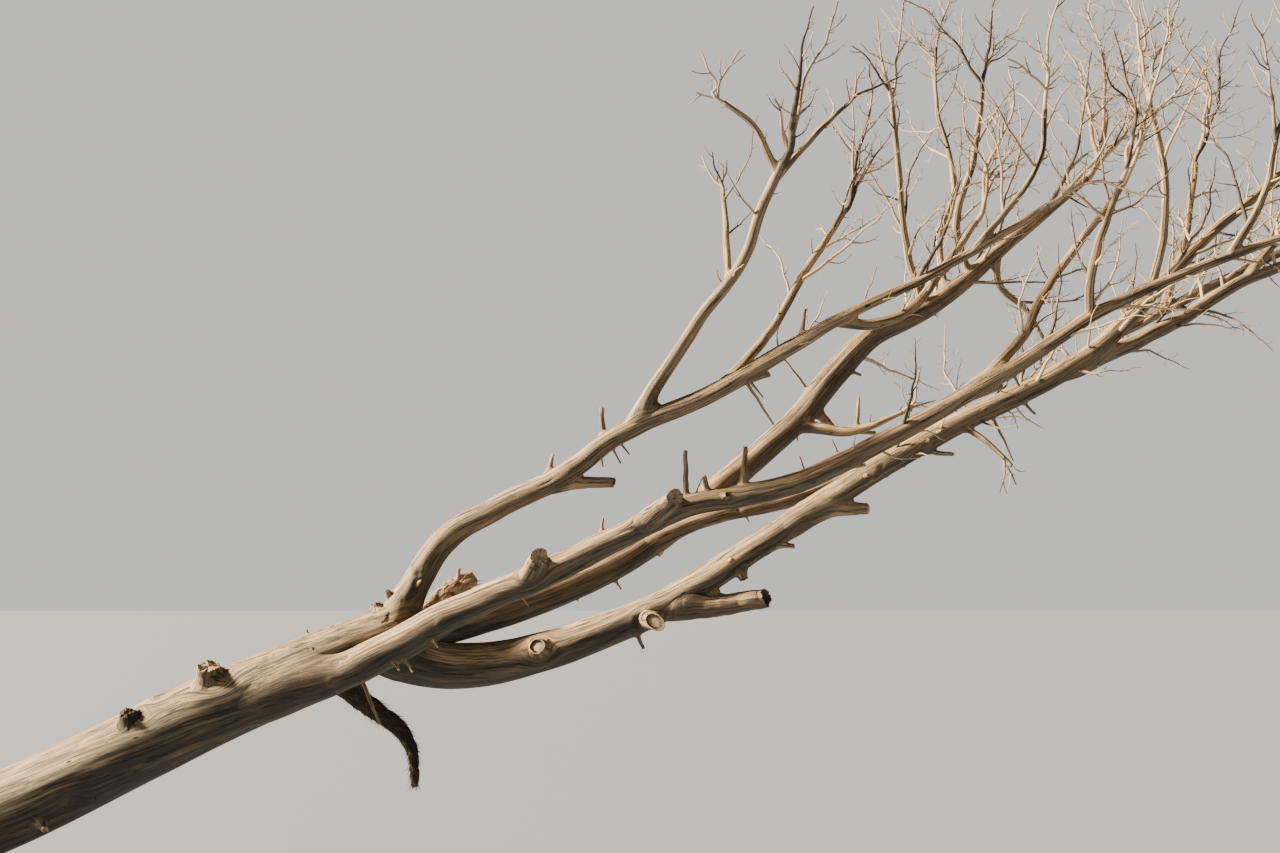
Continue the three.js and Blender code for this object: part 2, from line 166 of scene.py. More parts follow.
# %% [markdown]
# ## Where the limbs run
#
# A tree can be drawn with sculpted meshes or grown by a rule. Here every limb is a short list of points that a
# smooth line runs through, with its thickness at even steps, and it starts on the middle line of the limb that
# bears it. These are the driving sizes of the solids too, in millimetres. A stub is what is left of a lost limb:
# where it stands, how far it reaches, its two radii and how it ends.
#
# Some limbs and stubs have more. In radii, rise is how soon a limb's collar is full, point is how long its start
# tapers, and blend is how wide a stub's collar is. A bow bends the middle of a stub, a slant tips its end, and
# pits are hollows in its side: how far out each is, the way it faces and its size.

# %% The limbs
MM = 0.001

limbs = {
    "trunk": {
        "path": [(-180, 0, -260), (0, 0, 0), (90, 0, 130), (300, 0, 265), (820, -10, 455), (1620, -50, 835),
                 (2020, -70, 1012), (2420, -90, 1195)],
        "radii": [165, 158, 151, 150, 140, 100],
        "stubs": [
            {"at": 0.72, "reach": (38, -108, 198), "radii": (62, 43), "end": "cracked",
             "pits": [(0.86, (0.75, -0.65, -0.1), 15)], "blend": 0.7},
            {"at": 0.608, "reach": (30, -125, 155), "radii": (34, 28), "end": "rotten"},
        ],
    },
    "low_bough": {
        "from": "trunk", "at": 0.94, "rise": 1.6, "point": 1.8,
        "path": [(2610, 40, 1030), (2980, 70, 1080), (3440, 30, 1250), (3810, -30, 1470), (4270, -70, 1770),
                 (4690, -90, 2010), (5110, -90, 2210), (5350, -80, 2370), (5800, -20, 2810), (6260, 60, 3190)],
        "radii": [100, 92, 76, 60, 52, 49, 46, 42, 32, 24, 18],
        "stubs": [
            {"at": 0.162, "reach": (0, -102, 32), "radii": (46, 34), "end": "healed", "blend": 0.5,
             "slant": (0.25, 0, -0.18)},
            {"at": 0.257, "reach": (60, -105, -22), "radii": (42, 32), "end": "healed", "blend": 0.6,
             "slant": (1.15, -0.2, -0.85)},
            {"at": 0.27, "reach": (460, -100, 50), "radii": (48, 38), "end": "hollow", "bow": (0, 0, -12),
             "slant": (0, 0.35, 0)},
            {"at": 0.357, "reach": (25, -25, -85), "radii": (25, 18), "end": "dark"},
            {"at": 0.367, "reach": (190, -50, 25), "radii": (18, 10), "end": "torn", "bow": (0, 0, 14)},
            {"at": 0.39, "reach": (400, -45, 120), "radii": (38, 24), "end": "blunt", "bow": (0, 0, 45)},
        ],
    },
    "front_bough": {
        "from": "trunk", "at": 0.71, "rise": 7,
        "path": [(1890, -110, 905), (2015, -130, 955), (2205, -160, 1010), (2435, -205, 1115),
                 (2660, -265, 1243), (3090, -340, 1430), (3550, -420, 1640), (4010, -480, 1750),
                 (4750, -600, 2130), (5120, -660, 2370), (5550, -720, 2550), (6150, -800, 2750)],
        "radii": [62, 74, 57, 46, 38, 29, 19, 11],
        "stubs": [
            {"at": 0.294, "reach": (60, -110, 95), "radii": (42, 33), "end": "cracked", "blend": 0.7,
             "slant": (0.1, 0.5, 0.1)},
            {"at": 0.359, "reach": (12, -18, 104), "radii": (11, 5), "end": "spike"},
            {"at": 0.388, "reach": (160, -115, 120), "radii": (42, 31), "end": "cracked", "blend": 0.8,
             "slant": (0, 0.8, 0)},
            {"at": 0.433, "reach": (-3, -10, 215), "radii": (13, 8), "end": "torn"},
            {"at": 0.452, "reach": (-25, -20, 92), "radii": (11, 9), "end": "blunt"},
            {"at": 0.477, "reach": (12, -15, 185), "radii": (21, 8), "end": "torn",
             "pits": [(0.62, (0.9, -0.4, 0), 8), (0.8, (0.8, -0.6, 0), 5)]},
        ],
    },
    "back_bough": {
        "from": "trunk", "at": 0.965,
        "path": [(2610, 60, 1190), (2970, 160, 1305), (3270, 240, 1435), (3530, 320, 1618), (4090, 480, 2090),
                 (4490, 600, 2530), (4810, 700, 2710), (5110, 800, 2960), (5690, 960, 3440)],
        "radii": [68, 63, 61, 59, 40, 21],
        "stubs": [
            {"at": 0.3, "reach": (28, -35, -62), "radii": (22, 17), "end": "torn"},
            {"at": 0.53, "reach": (110, 60, -90), "radii": (26, 17), "end": "torn"},
        ],
    },
    "upper_bough": {
        "from": "trunk", "at": 0.985,
        "path": [(2470, -110, 1330), (2640, -180, 1560), (3090, -330, 1780), (3350, -420, 1950),
                 (3710, -520, 2100), (4150, -650, 2340), (4400, -730, 2450), (4880, -860, 2710)],
        "radii": [62, 48, 38, 31, 19, 13],
        "stubs": [
            {"at": 0.301, "reach": (28, -10, 115), "radii": (20, 6), "end": "spike"},
            {"at": 0.29, "reach": (300, -30, 20), "radii": (26, 20), "end": "dark", "bow": (0, 0, 10)},
            {"at": 0.392, "reach": (0, 0, 150), "radii": (14, 9), "end": "torn"},
        ],
    },
    "broken_limb": {
        "from": "back_bough", "at": 0.03,
        "path": [(2570, 90, 1312), (2680, 155, 1390)],
        "radii": [43, 42, 37],
        "stubs": [
            {"at": 0.8, "reach": (10, 0, 80), "radii": (10, 7), "end": "rotten"},
        ],
    },
    "hanging_limb": {
        "from": "trunk", "at": 0.885,
        "path": [(2320, 20, 850), (2420, 50, 768), (2460, 60, 690), (2470, 70, 540)],
        "radii": [46, 43, 36, 26, 12],
    },
    "link_bough": {
        "from": "back_bough", "at": 0.28,
        "path": [(3620, 240, 1630), (4100, 230, 1750), (4550, 260, 1950), (5020, 310, 2200), (6020, 470, 2730),
                 (7000, 640, 3200)],
        "radii": [38, 31, 28, 25, 20, 15],
    },
    "right_bough": {
        "from": "low_bough", "at": 0.68,
        "path": [(5440, 0, 2360), (5760, 110, 2510), (6140, 240, 2730), (6700, 400, 2950)],
        "radii": [36, 32, 27, 19],
    },
    "side_limb": {
        "from": "back_bough", "at": 0.5,
        "path": [(4350, 400, 2065), (4580, 300, 2130)],
        "radii": [29, 23, 12],
        "stubs": [
            {"at": 0.57, "reach": (10, -10, 150), "radii": (13, 6), "end": "spike"},
        ],
    },
    "upper_left": {
        "from": "upper_bough", "at": 0.43,
        "path": [(3630, -560, 2360), (3780, -660, 2550), (3860, -760, 2760), (3920, -850, 2880)],
        "radii": [32, 25, 21, 17],
    },
    "upper_left_side": {
        "from": "upper_left", "at": 0.58,
        "path": [(3730, -520, 2760), (3730, -470, 2890)],
        "radii": [16, 13, 9],
    },
    "upper_left_arm": {
        "from": "upper_left", "at": 0.96,
        "path": [(3800, -880, 3020), (3700, -900, 3090)],
        "radii": [14, 12, 8],
    },
    "upper_left_fork": {
        "from": "upper_left", "at": 0.93,
        "path": [(4030, -820, 2980), (4130, -790, 3090)],
        "radii": [14, 12, 9],
    },
    "middle_riser": {
        "from": "upper_bough", "at": 0.555,
        "path": [(3890, -400, 2320), (4060, -260, 2610), (4270, -90, 2940)],
        "radii": [22, 18, 16, 13],
    },
    "cross_limb": {
        "from": "upper_bough", "at": 0.72,
        "path": [(4280, -610, 2330), (4410, -570, 2380), (4610, -470, 2610), (4740, -400, 2790)],
        "radii": [22, 19, 16, 12],
    },
    "front_riser": {
        "from": "front_bough", "at": 0.66,
        "path": [(4850, -540, 2290), (4970, -490, 2490), (5330, -380, 2930)],
        "radii": [24, 19, 16, 12],
    },
    "front_upright": {
        "from": "front_bough", "at": 0.77,
        "path": [(5070, -720, 2490), (5140, -880, 2800)],
        "radii": [19, 16, 11],
    },
    "back_shoot_left": {
        "from": "back_bough", "at": 0.715,
        "path": [(4680, 620, 3050), (4610, 480, 3640)],
        "radii": [20, 16, 12],
    },
    "back_shoot_far": {
        "from": "back_bough", "at": 0.75,
        "path": [(4900, 830, 3110), (5000, 900, 3390), (4950, 1000, 3830)],
        "radii": [19, 17, 14, 12],
    },
    "back_shoot_right": {
        "from": "back_bough", "at": 0.79,
        "path": [(4950, 700, 3140), (5020, 620, 3420), (5050, 520, 3740)],
        "radii": [20, 18, 15, 12],
    },
    "back_droop": {
        "from": "back_bough", "at": 0.84,
        "path": [(5190, 860, 2870), (5340, 900, 2740), (5430, 920, 2590)],
        "radii": [22, 18, 14, 10],
    },
    "upper_shoot": {
        "from": "upper_bough", "at": 0.9,
        "path": [(4830, -930, 2860), (4830, -1000, 3020)],
        "radii": [14, 11, 9],
    },
    "low_riser": {
        "from": "low_bough", "at": 0.795,
        "path": [(5600, -140, 2820), (5580, -200, 3120), (5530, -240, 3370)],
        "radii": [21, 17, 15, 12],
    },
    "low_droop": {
        "from": "low_bough", "at": 0.585,
        "path": [(4810, -150, 1950), (4880, -180, 1870)],
        "radii": [15, 12, 9],
    },
    "link_riser": {
        "from": "link_bough", "at": 0.67,
        "path": [(5980, 520, 2990), (6090, 600, 3390)],
        "radii": [21, 18, 14],
    },
    "front_tip_riser": {
        "from": "front_bough", "at": 0.88,
        "path": [(5670, -820, 2750), (5690, -900, 2940)],
        "radii": [16, 13, 10],
    },
    "right_riser": {
        "from": "right_bough", "at": 0.64,
        "path": [(6370, 300, 3040), (6460, 330, 3360)],
        "radii": [21, 17, 13],
    },
}

# The limbs that still have bark, and how bleached it is.
barked = {"broken_limb": 1.0, "hanging_limb": 0.0}
print(len(limbs), "limbs with", sum(len(limb.get("stubs", [])) for limb in limbs.values()), "stubs")

# %% Snags and holes
# Broken twigs too small for the solids: place along the limb, reach, radii, and how each ends.
snags = {
    "trunk": [
        (0.881, (-50, 0, 135), (9, 4), "torn"), (0.985, (-48, -35, 112), (26, 15), "torn"),
        (1.0, (-35, -45, 140), (24, 12), "torn"), (0.975, (-40, -12, 116), (14, 6), "splinter"),
        (0.449, (175, -150, -80), (30, 12), "torn"), (0.928, (150, -85, -290), (11, 5), "splinter"),
    ],
    "upper_bough": [
        (0.387, (14, -10, -75), (6, 3), "dark"), (0.402, (45, -10, -90), (6, 3), "dark"),
        (0.412, (55, -10, -70), (6, 3), "dark"), (0.581, (125, -10, 18), (19, 9), "dark"),
        (0.593, (70, -15, -90), (8, 3), "dark"), (0.671, (25, 0, 130), (11, 6), "torn"),
        (0.59, (120, 60, -175), (7, 4), "blunt"), (0.045, (75, -85, 80), (10, 4), "splinter"),
        (0.066, (65, -72, 85), (8, 3), "splinter"),
    ],
    "back_bough": [
        (0.54, (-145, -10, 195), (9, 4), "torn"), (0.243, (60, -10, -90), (11, 3), "dark"),
        (0.204, (19, 0, -70), (5, 2), "spike"), (0.587, (95, -20, -35), (12, 6), "dark"),
        (0.66, (60, -40, 70), (8, 4), "torn"), (0.5, (20, -40, -75), (7, 3), "dark"),
    ],
    "front_bough": [
        (0.285, (60, -40, -75), (9, 2), "splinter"), (0.169, (60, -70, -72), (14, 4), "splinter"),
        (0.175, (85, -70, -92), (15, 4), "splinter"), (0.204, (70, -62, -66), (14, 5), "dark"),
        (0.459, (25, -60, 14), (11, 9), "dark"), (0.527, (-25, 0, 90), (6, 3), "spike"),
        (0.557, (-40, 0, 85), (6, 3), "spike"), (0.542, (160, 25, 30), (14, 6), "dark"),
        (0.659, (150, -15, 38), (17, 8), "torn"), (0.437, (40, 0, 100), (4, 2), "spike"),
        (0.61, (10, -20, 80), (7, 4), "blunt"), (0.7, (30, 0, -60), (7, 4), "dark"),
    ],
    "link_bough": [
        (0.122, (30, -15, -55), (6, 2), "splinter"), (0.3, (40, 0, 60), (6, 3), "dark"),
    ],
    "low_bough": [
        (0.248, (55, -15, -120), (12, 7), "dark"), (0.291, (60, -10, -85), (10, 4), "dark"),
        (0.439, (25, 0, -60), (6, 3), "dark"), (0.509, (16, 0, -50), (6, 3), "dark"),
        (0.526, (20, 0, -48), (5, 3), "dark"), (0.526, (120, -45, 50), (14, 7), "torn"),
        (0.551, (60, -50, 40), (9, 4), "torn"), (0.537, (185, 20, -20), (15, 8), "dark"),
        (0.644, (70, 0, -85), (9, 5), "dark"), (0.615, (105, 40, -215), (8, 3), "torn"),
        (0.48, (40, -55, 25), (9, 5), "blunt"), (0.345, (20, -70, 30), (8, 5), "blunt"),
    ],
    "side_limb": [
        (0.423, (165, 10, -6), (15, 9), "dark"),
    ],
}

# Small holes, dark inside with painted shade: place along the limb, the way they face, and their size.
holes = {
    "trunk": [
        (0.567, (-0.34, -0.72, 0.61), 8), (0.831, (-0.34, -0.64, 0.69), 8), (0.884, (-0.21, -0.9, 0.38), 7),
        (0.493, (-0.18, -0.95, 0.25), 5), (0.637, (0.0, -0.99, -0.13), 6), (0.757, (0.1, -0.93, -0.36), 5),
    ],
    "front_bough": [
        (0.131, (-0.36, -0.79, 0.5), 10), (0.139, (-0.37, -0.78, 0.5), 8), (0.401, (0.04, -0.91, -0.42), 5),
    ],
    "upper_bough": [
        (0.091, (-0.24, -0.95, -0.17), 11), (0.078, (0.12, -0.93, -0.35), 9), (0.049, (-0.08, -0.99, -0.14), 7),
        (0.522, (-0.43, -0.42, 0.8), 6),
    ],
    "link_bough": [(0.117, (-0.08, -0.99, 0.06), 9)],
    "low_bough": [
        (0.399, (-0.53, -0.3, 0.8), 8), (0.31, (0.46, -0.32, -0.83), 7), (0.505, (-0.03, -1.0, -0.07), 6),
    ],
    "back_bough": [
        (0.433, (0.67, -0.28, -0.69), 9), (0.366, (0.03, -0.95, 0.32), 5), (0.641, (0.11, -0.96, 0.25), 6),
    ],
}
print(sum(map(len, snags.values())), "snags and", sum(map(len, holes.values())), "holes")

# %% The crown's leaders
# Each limb that goes on into the crown has the end of its stem first, and then the ends of its leaders.
crown = {
    "upper_left": [(4030, -1000, 3410), (3890, -930, 3090), (4120, -940, 3450)],
    "upper_left_arm": [(3620, -940, 3250), (3610, -850, 3140), (3760, -960, 3270)],
    "upper_left_fork": [(4400, -770, 3250), (4260, -720, 3300), (4200, -840, 3150)],
    "upper_left_side": [(3660, -400, 3060), (3740, -420, 3050), (3690, -480, 3060)],
    "middle_riser": [(4410, -20, 3640), (4500, 20, 3330), (4300, -130, 3440)],
    "cross_limb": [(4930, -320, 3470), (4690, -480, 3290), (5020, -250, 3150)],
    "upper_bough": [(5110, -960, 2990), (5040, -900, 3270), (5220, -1030, 2690)],
    "back_shoot_left": [(4530, 420, 4050), (4700, 560, 4350), (4390, 350, 3890)],
    "back_shoot_far": [(5140, 1130, 4710), (4970, 1080, 4340), (4880, 1180, 4420)],
    "back_shoot_right": [(5130, 430, 4250), (4670, 590, 4260), (5310, 640, 4180)],
    "upper_shoot": [(4860, -1140, 3400), (4800, -1070, 3280), (4660, -1120, 3150)],
    "front_riser": [(5560, -430, 3720), (5410, -470, 3380), (5210, -560, 3440)],
    "front_upright": [(5220, -970, 3100), (5070, -1040, 3290), (5390, -940, 3220)],
    "low_riser": [(5530, -190, 3820), (5690, -290, 3920), (5480, -130, 4080)],
    "link_riser": [(6460, 760, 4320), (6200, 680, 4090), (6000, 580, 4180)],
    "front_tip_riser": [(5730, -980, 3250), (5570, -1050, 3360), (5900, -960, 3330)],
    "right_riser": [(6590, 390, 3980), (6830, 450, 4210), (6360, 300, 4090)],
    "front_bough": [(6520, -870, 2920), (6340, -980, 3120), (6620, -930, 2690)],
    "back_bough": [(5910, 1080, 4170), (6160, 1150, 3980), (5600, 1010, 4250), (5860, 1150, 4690)],
    "low_bough": [(6820, 110, 3700), (6650, 60, 4080), (7050, 170, 3420)],
    "right_bough": [(7370, 500, 3210), (7280, 560, 3650), (7430, 430, 2890)],
    "link_bough": [(7590, 760, 3520), (7520, 800, 4020), (7330, 730, 4170)],
    "side_limb": [(4710, 250, 2190), (4640, 230, 2300)],
    "back_droop": [(5500, 940, 2410), (5340, 900, 2390)],
    "low_droop": [(4920, -200, 1760), (4870, -150, 1730)],
}
print(len(crown), "masses of twigs with", sum(len(ends) for ends in crown.values()), "leaders")

# %% [markdown]
# ## Smooth lines and seeded chance
#
# A centripetal spline passes through every point without loops, which keeps a limb's bends calm. The line is
# sampled once and then read by its length, so even steps along it really are even. Chance comes from a small
# integer generator that gives the same numbers on every machine, and from a lattice noise made of the same
# kind of mixing.


# %% Seeded numbers
WORD = 0xFFFFFFFF


def random_stream(seed):
    """A seeded stream of numbers from 0 to 1."""
    state = seed & WORD
    while True:
        state = (state + 0x6D2B79F5) & WORD
        mixed = ((state ^ (state >> 15)) * (state | 1)) & WORD
        mixed ^= (mixed + (((mixed ^ (mixed >> 7)) * (mixed | 61)) & WORD)) & WORD
        yield ((mixed ^ (mixed >> 14)) & WORD) / 4294967296


def child_seed(seed, index):
    """The seed of a branch's own child, so that finer twigs never shift the coarser ones."""
    return ((seed ^ (index + 1)) * 2654435761) & WORD


def smooth_noise(points, seed):
    """Smooth noise from -1 to 1 at each point, one lattice cell to the unit."""
    cell = np.floor(points).astype(np.int64)
    share = points - cell
    share = share * share * (3 - 2 * share)
    total = np.zeros(points.shape[:-1])
    for corner in itertools.product((0, 1), repeat=3):
        at = cell + np.array(corner)
        mixed = at[..., 0] * 73856093 ^ at[..., 1] * 19349663 ^ at[..., 2] * 83492791 ^ seed * 668265263
        mixed = ((mixed ^ (mixed >> 13)) * 1274126177) & WORD
        value = ((mixed ^ (mixed >> 16)) & 0xFFFF) / 32767.5 - 1
        total += value * np.prod(np.where(corner, share, 1 - share), axis=-1)
    return total


print("first numbers of seed 1:", [round(n, 4) for n in itertools.islice(random_stream(1), 3)])


# %% Lines
class Line:
    """A smooth line through points, read by the share of its length."""

    def __init__(self, points, steps=24):
        points = np.array(points, float)
        ends = np.vstack([2 * points[0] - points[1], points, 2 * points[-1] - points[-2]])
        share = np.linspace(0, 1, steps, endpoint=False)[:, None]
        stretches = []
        for a, b, c, d in zip(ends, ends[1:], ends[2:], ends[3:]):
            first, second, third = (np.linalg.norm(q - p) ** 0.5 for p, q in ((a, b), (b, c), (c, d)))
            leave = ((b - a) / first - (c - a) / (first + second) + (c - b) / second) * second
            arrive = ((c - b) / second - (d - b) / (second + third) + (d - c) / third) * second
            cubic = 2 * b - 2 * c + leave + arrive
            square = -3 * b + 3 * c - 2 * leave - arrive
            stretches.append(b + share * (leave + share * (square + share * cubic)))
        self.measure(np.vstack([*stretches, points[-1:]]))

    def measure(self, points):
        """Keeps the points with their lengths and directions."""
        self.points = points
        steps_made = np.linalg.norm(np.diff(self.points, axis=0), axis=1)
        self.lengths = np.concatenate([[0], np.cumsum(steps_made)])
        self.length = self.lengths[-1]
        slopes = np.gradient(self.points, self.lengths, axis=0)
        self.slopes = slopes / np.linalg.norm(slopes, axis=1)[:, None]

    def wavered(self, amount, scale, settle, seed):
        """The same line with seeded kinks, which grow from nothing at its root."""
        ramp = np.clip(self.lengths / settle, 0, 1)[:, None]
        broad, fine = self.points / scale, self.points * 2.3 / scale
        kinks = [smooth_noise(broad, seed + axis) + 0.5 * smooth_noise(fine, seed + axis) for axis in (1, 2, 3)]
        made = copy.copy(self)
        made.measure(self.points + amount * ramp * np.stack(kinks, -1))
        return made

    def tangent(self, share):
        """Unit direction at each share of the length."""
        place = np.clip(share, 0, 1) * self.length
        found = np.stack([np.interp(place, self.lengths, axis) for axis in self.slopes.T], -1)
        return found / np.linalg.norm(found, axis=-1, keepdims=True)

    def point(self, share):
        """Point at each share of the length, going straight on past both ends."""
        place = np.asarray(share) * self.length
        found = np.stack([np.interp(place, self.lengths, axis) for axis in self.points.T], -1)
        past = place - np.clip(place, 0, self.length)
        return found + self.tangent(share) * past[..., None]


# A slim limb has larger and closer kinks than a stout one.
slim_radius = 15
slim_to_stout = 60
stout_kinks = 0.002
slim_kinks_more = 0.006
stout_kink_length = 0.28
slim_kink_shorter = 0.1
kinks_begin = 0.25
line_seed = 70

lines = {}
for name, limb in limbs.items():
    start = [lines[limb["from"]].point(limb["at"])] if "from" in limb else []
    smooth = Line([*start, *(np.array(p) * MM for p in limb["path"])])
    thin = 1 - np.clip((np.mean(limb["radii"]) - slim_radius) / slim_to_stout, 0, 1)
    kinks = stout_kinks + slim_kinks_more * thin
    kink_run = stout_kink_length - slim_kink_shorter * thin
    lines[name] = smooth.wavered(kinks, kink_run, kinks_begin, line_seed + 4 * len(lines))
print("longest limb", round(max(line.length for line in lines.values()), 2), "m")

# %% Frames round a line
def square_to(axis, angle):
    """A direction square to the axis, turned round it by an angle."""
    helper = np.array((0.0, 0.0, 1.0)) if abs(axis[2]) < 0.9 else np.array((1.0, 0.0, 0.0))
    side = helper - axis * helper.dot(axis)
    side /= np.linalg.norm(side)
    return side * math.cos(angle) + np.cross(axis, side) * math.sin(angle)


def frames_along(line, shares):
    """Points, directions and two square sides along a line, turned as little as possible."""
    tangents = line.tangent(shares)
    normals = np.empty_like(tangents)
    before = square_to(tangents[0], 0)
    for i, tangent in enumerate(tangents):
        before = before - tangent * before.dot(tangent)
        before = before / np.linalg.norm(before)
        normals[i] = before
    return line.point(shares), tangents, np.cross(tangents, normals), normals


def along_list(values, share):
    """The value at a share of a list whose values are spaced evenly."""
    return np.interp(share, np.linspace(0, 1, len(values)), values)


print("a side of the up axis:", square_to(np.array((0.0, 0.0, 1.0)), 0))

# %% [markdown]
# ## The relief of bare wood
#
# Wood without bark isn't round. It is fluted where roots and limbs feed into it, ridged along its fibres, and
# split by drying cracks that follow the grain. A texture alone would leave the outline smooth, so the larger
# relief is in the mesh: each limb is a grid of rings whose radius is worked out point by point. Noise that is
# sampled on a turning cylinder, and stretched along it, gives flutes with the slow spiral of old wood.
#
# A knot is where a lost limb stood. The wood swells round it and the grain flows past it as water flows past a
# post, so the same formula, the flow round a cylinder, bends the grain pattern that the material reads.

# %% Relief
twist = 0.42  # how far the grain turns round the limb in one metre, in radians
flute_size = 0.06  # shares of the radius
ridge_size = 0.03
ridge_most = 0.0022
ridge_width = 0.021
ridge_length = 0.2
crack_spacing = 0.3  # metres of limb for each wide crack
knot_spacing = 0.42
hole_depth = -0.7
bark_shag = 0.0045
tuft_width = 0.008
tuft_length = 0.02
clump_share = 0.3
clump_length = 0.07


def grain_relief(turn, along, radius, usual, seed):
    """Height of flutes and ridges, in metres."""
    around = np.stack([np.cos(turn), np.sin(turn)], -1)
    flutes = smooth_noise(np.concatenate([around * 1.25, along[..., None] / (8 * usual)], -1), seed)
    fine = around * (radius / ridge_width)[..., None]
    ridges = smooth_noise(np.concatenate([fine, along[..., None] / ridge_length], -1), seed + 1)
    return radius * flute_size * flutes + np.minimum(radius * ridge_size, ridge_most) * ridges


def wrap(angle):
    """The same angle between minus pi and pi."""
    return (angle + np.pi) % (2 * np.pi) - np.pi


def drying_cracks(turn, along, radius, length, seed):
    """How deep the wide drying cracks are at each point, from 0 to 1."""
    chance = random_stream(seed)
    deep = np.zeros_like(turn)
    for _ in range(round(length / crack_spacing)):
        angle = next(chance) * 2 * np.pi
        start = next(chance) * length
        run = 0.1 + 0.5 * next(chance) ** 2
        width = 0.0022 + 0.0022 * next(chance)
        share = (along - start) / run
        path = angle + 0.06 * np.sin(share * 7 + angle * 5)
        envelope = np.clip(4 * share * (1 - share), 0, 1) * (0.4 + 0.6 * next(chance))
        deep = np.maximum(deep, envelope * np.exp(-(wrap(turn - path) * radius / width) ** 2))
    return deep


print("grain turns", round(math.degrees(twist)), "degrees in a metre")


# %% Knots
frame_steps = 200
limb_frames = {name: frames_along(line, np.linspace(0, 1, frame_steps + 1)) for name, line in lines.items()}


def frames_at(name, shares):
    """A limb's frames at any shares, from its own evenly spaced ones."""
    steps = np.linspace(0, 1, frame_steps + 1)
    _, *sides = limb_frames[name]
    found = [np.stack([np.interp(shares, steps, axis) for axis in side.T], -1) for side in sides]
    found = [side / np.linalg.norm(side, axis=-1, keepdims=True) for side in found]
    return lines[name].point(np.asarray(shares)), *found


def flow_past(u, v, size):
    """How far the grain is pushed across a limb at u along and v across from a knot."""
    return -v * size**2 / np.maximum(u * u + v * v, size**2)


def small_knots(name, seed):
    """Seeded small knots of one limb: place along it, angle, size and height as a share of the size."""
    chance = random_stream(seed)
    count = max(1, round(lines[name].length / knot_spacing))
    knots = []
    for i in range(count):
        at = (i + 0.15 + 0.7 * next(chance)) / count
        size = along_list(limbs[name]["radii"], at) * MM * (0.1 + 0.12 * next(chance))
        knots.append((at * lines[name].length, next(chance) * 2 * np.pi, size, 0.35))
    return knots


def angle_facing(facing, binormal, normal):
    """The angle round a limb at which its surface faces a direction."""
    return math.atan2(normal.dot(facing), binormal.dot(facing))


def all_stubs(name):
    """The stubs and snags of one limb."""
    small = [dict(zip(("at", "reach", "radii", "end"), snag)) for snag in snags.get(name, [])]
    return limbs[name].get("stubs", []) + small


def stub_knots(name):
    """The swelling round each stub of a limb, like the small knots."""
    knots = []
    for stub in all_stubs(name):
        _, tangent, binormal, normal = frames_at(name, stub["at"])
        reach = np.array(stub["reach"]) * MM
        across = reach - tangent * reach.dot(tangent)
        radius = along_list(limbs[name]["radii"], stub["at"]) * MM
        shift = reach.dot(tangent) * radius / np.linalg.norm(across)
        angle = angle_facing(across, binormal, normal)
        knots.append((stub["at"] * lines[name].length + 0.7 * shift, angle, stub["radii"][0] * MM, 0.14))
    return knots


def dark_holes(name):
    """Small rotted holes of a limb, as knots that sink in, so their inside is painted dark as shade."""
    found = []
    for at, facing, size in holes.get(name, []):
        _, _, binormal, normal = frames_at(name, at)
        found.append((at * lines[name].length, angle_facing(facing, binormal, normal), size * MM, hole_depth))
    return found


def stub_pits(stub, line):
    """Rotted hollows in the side of a stub, in the same way, dark inside with painted shade."""
    found = []
    for share, facing, size in stub.get("pits", []):
        _, _, binormals, normals = frames_along(line, np.linspace(0, share, 20))
        angle = angle_facing(facing, binormals[-1], normals[-1])
        found.append((share * line.length, angle, size * MM, hole_depth))
    return found


class Surface:
    """The surface of one limb or stub: a radius for each angle and place along its line."""

    def __init__(self, line, radii, seed, knots, swirl=0.0, shag=0.0):
        self.line = line
        self.shag = shag
        self.radii = np.array(radii) * MM
        self.seed = seed
        self.knots = knots
        self.swirl = swirl
        self.usual = self.radii.mean()

    def radius(self, theta, along):
        """Plain radius, true radius, the turn of the grain and how much a point is knot; in a hole the same mark
        is painted shade.
        """
        plain = along_list(self.radii, along / self.line.length)
        turn = theta + twist * along + self.swirl
        radius = plain + grain_relief(turn, along, plain, self.usual, self.seed)
        if self.shag:
            around = np.stack([np.cos(turn), np.sin(turn)], -1) * (plain / tuft_width)[..., None]
            tufts = smooth_noise(np.concatenate([around, along[..., None] / tuft_length], -1), self.seed + 3)
            broad = around * clump_share
            clumps = smooth_noise(np.concatenate([broad, along[..., None] / clump_length], -1), self.seed + 4)
            radius += self.shag * (tufts + clumps)
        knot_and_shade = np.zeros_like(radius)
        for place, angle, size, height in self.knots:
            u = along - place
            v = wrap(theta - angle) * plain
            radius += height * size * np.exp(-(u * u + v * v) / (2 * (1.3 * size) ** 2))
            knot_and_shade = np.maximum(knot_and_shade, np.exp(-(u * u * 0.6 + v * v) / (0.9 * size) ** 2))
            near_side = 0.5 + 0.5 * np.cos(theta - angle)
            turn = turn + near_side * flow_past(u, v, size * 1.25) / plain
        return plain, radius, turn, knot_and_shade


def limb_surface(name, seed):
    """The surface of a limb with all its knots and holes."""
    knots = stub_knots(name) + dark_holes(name) + small_knots(name, seed + 3)
    return Surface(lines[name], limbs[name]["radii"], seed, knots, shag=bark_shag if name in barked else 0.0)


surfaces = {name: limb_surface(name, 300 + 40 * i) for i, name in enumerate(limbs)}
print("knots of the trunk:", len(surfaces["trunk"].knots))

# %% [markdown]
# ## Where one limb grows out of another
#
# Two tubes that only cross show a hard seam. Real wood flows from the bearer into the limb, in a collar. A
# Boolean union and a remesh could join them, but that loses the rings that follow the grain. Instead each point
# of the new limb moves out along its own ray until it reaches the surface where both limbs, blended, would end.
# The blend sinks just under the bearer's surface, so the collar runs out on it without a seam. Each point of the
# collar also keeps its place in the bearer's grain, and the material goes over from that grain to its own.


# %% Blend into the bearer
def grain_place(plain, turn, along):
    """The place of a point in the straightened grain of its limb."""
    return np.stack([plain * np.cos(turn), plain * np.sin(turn), along], -1)


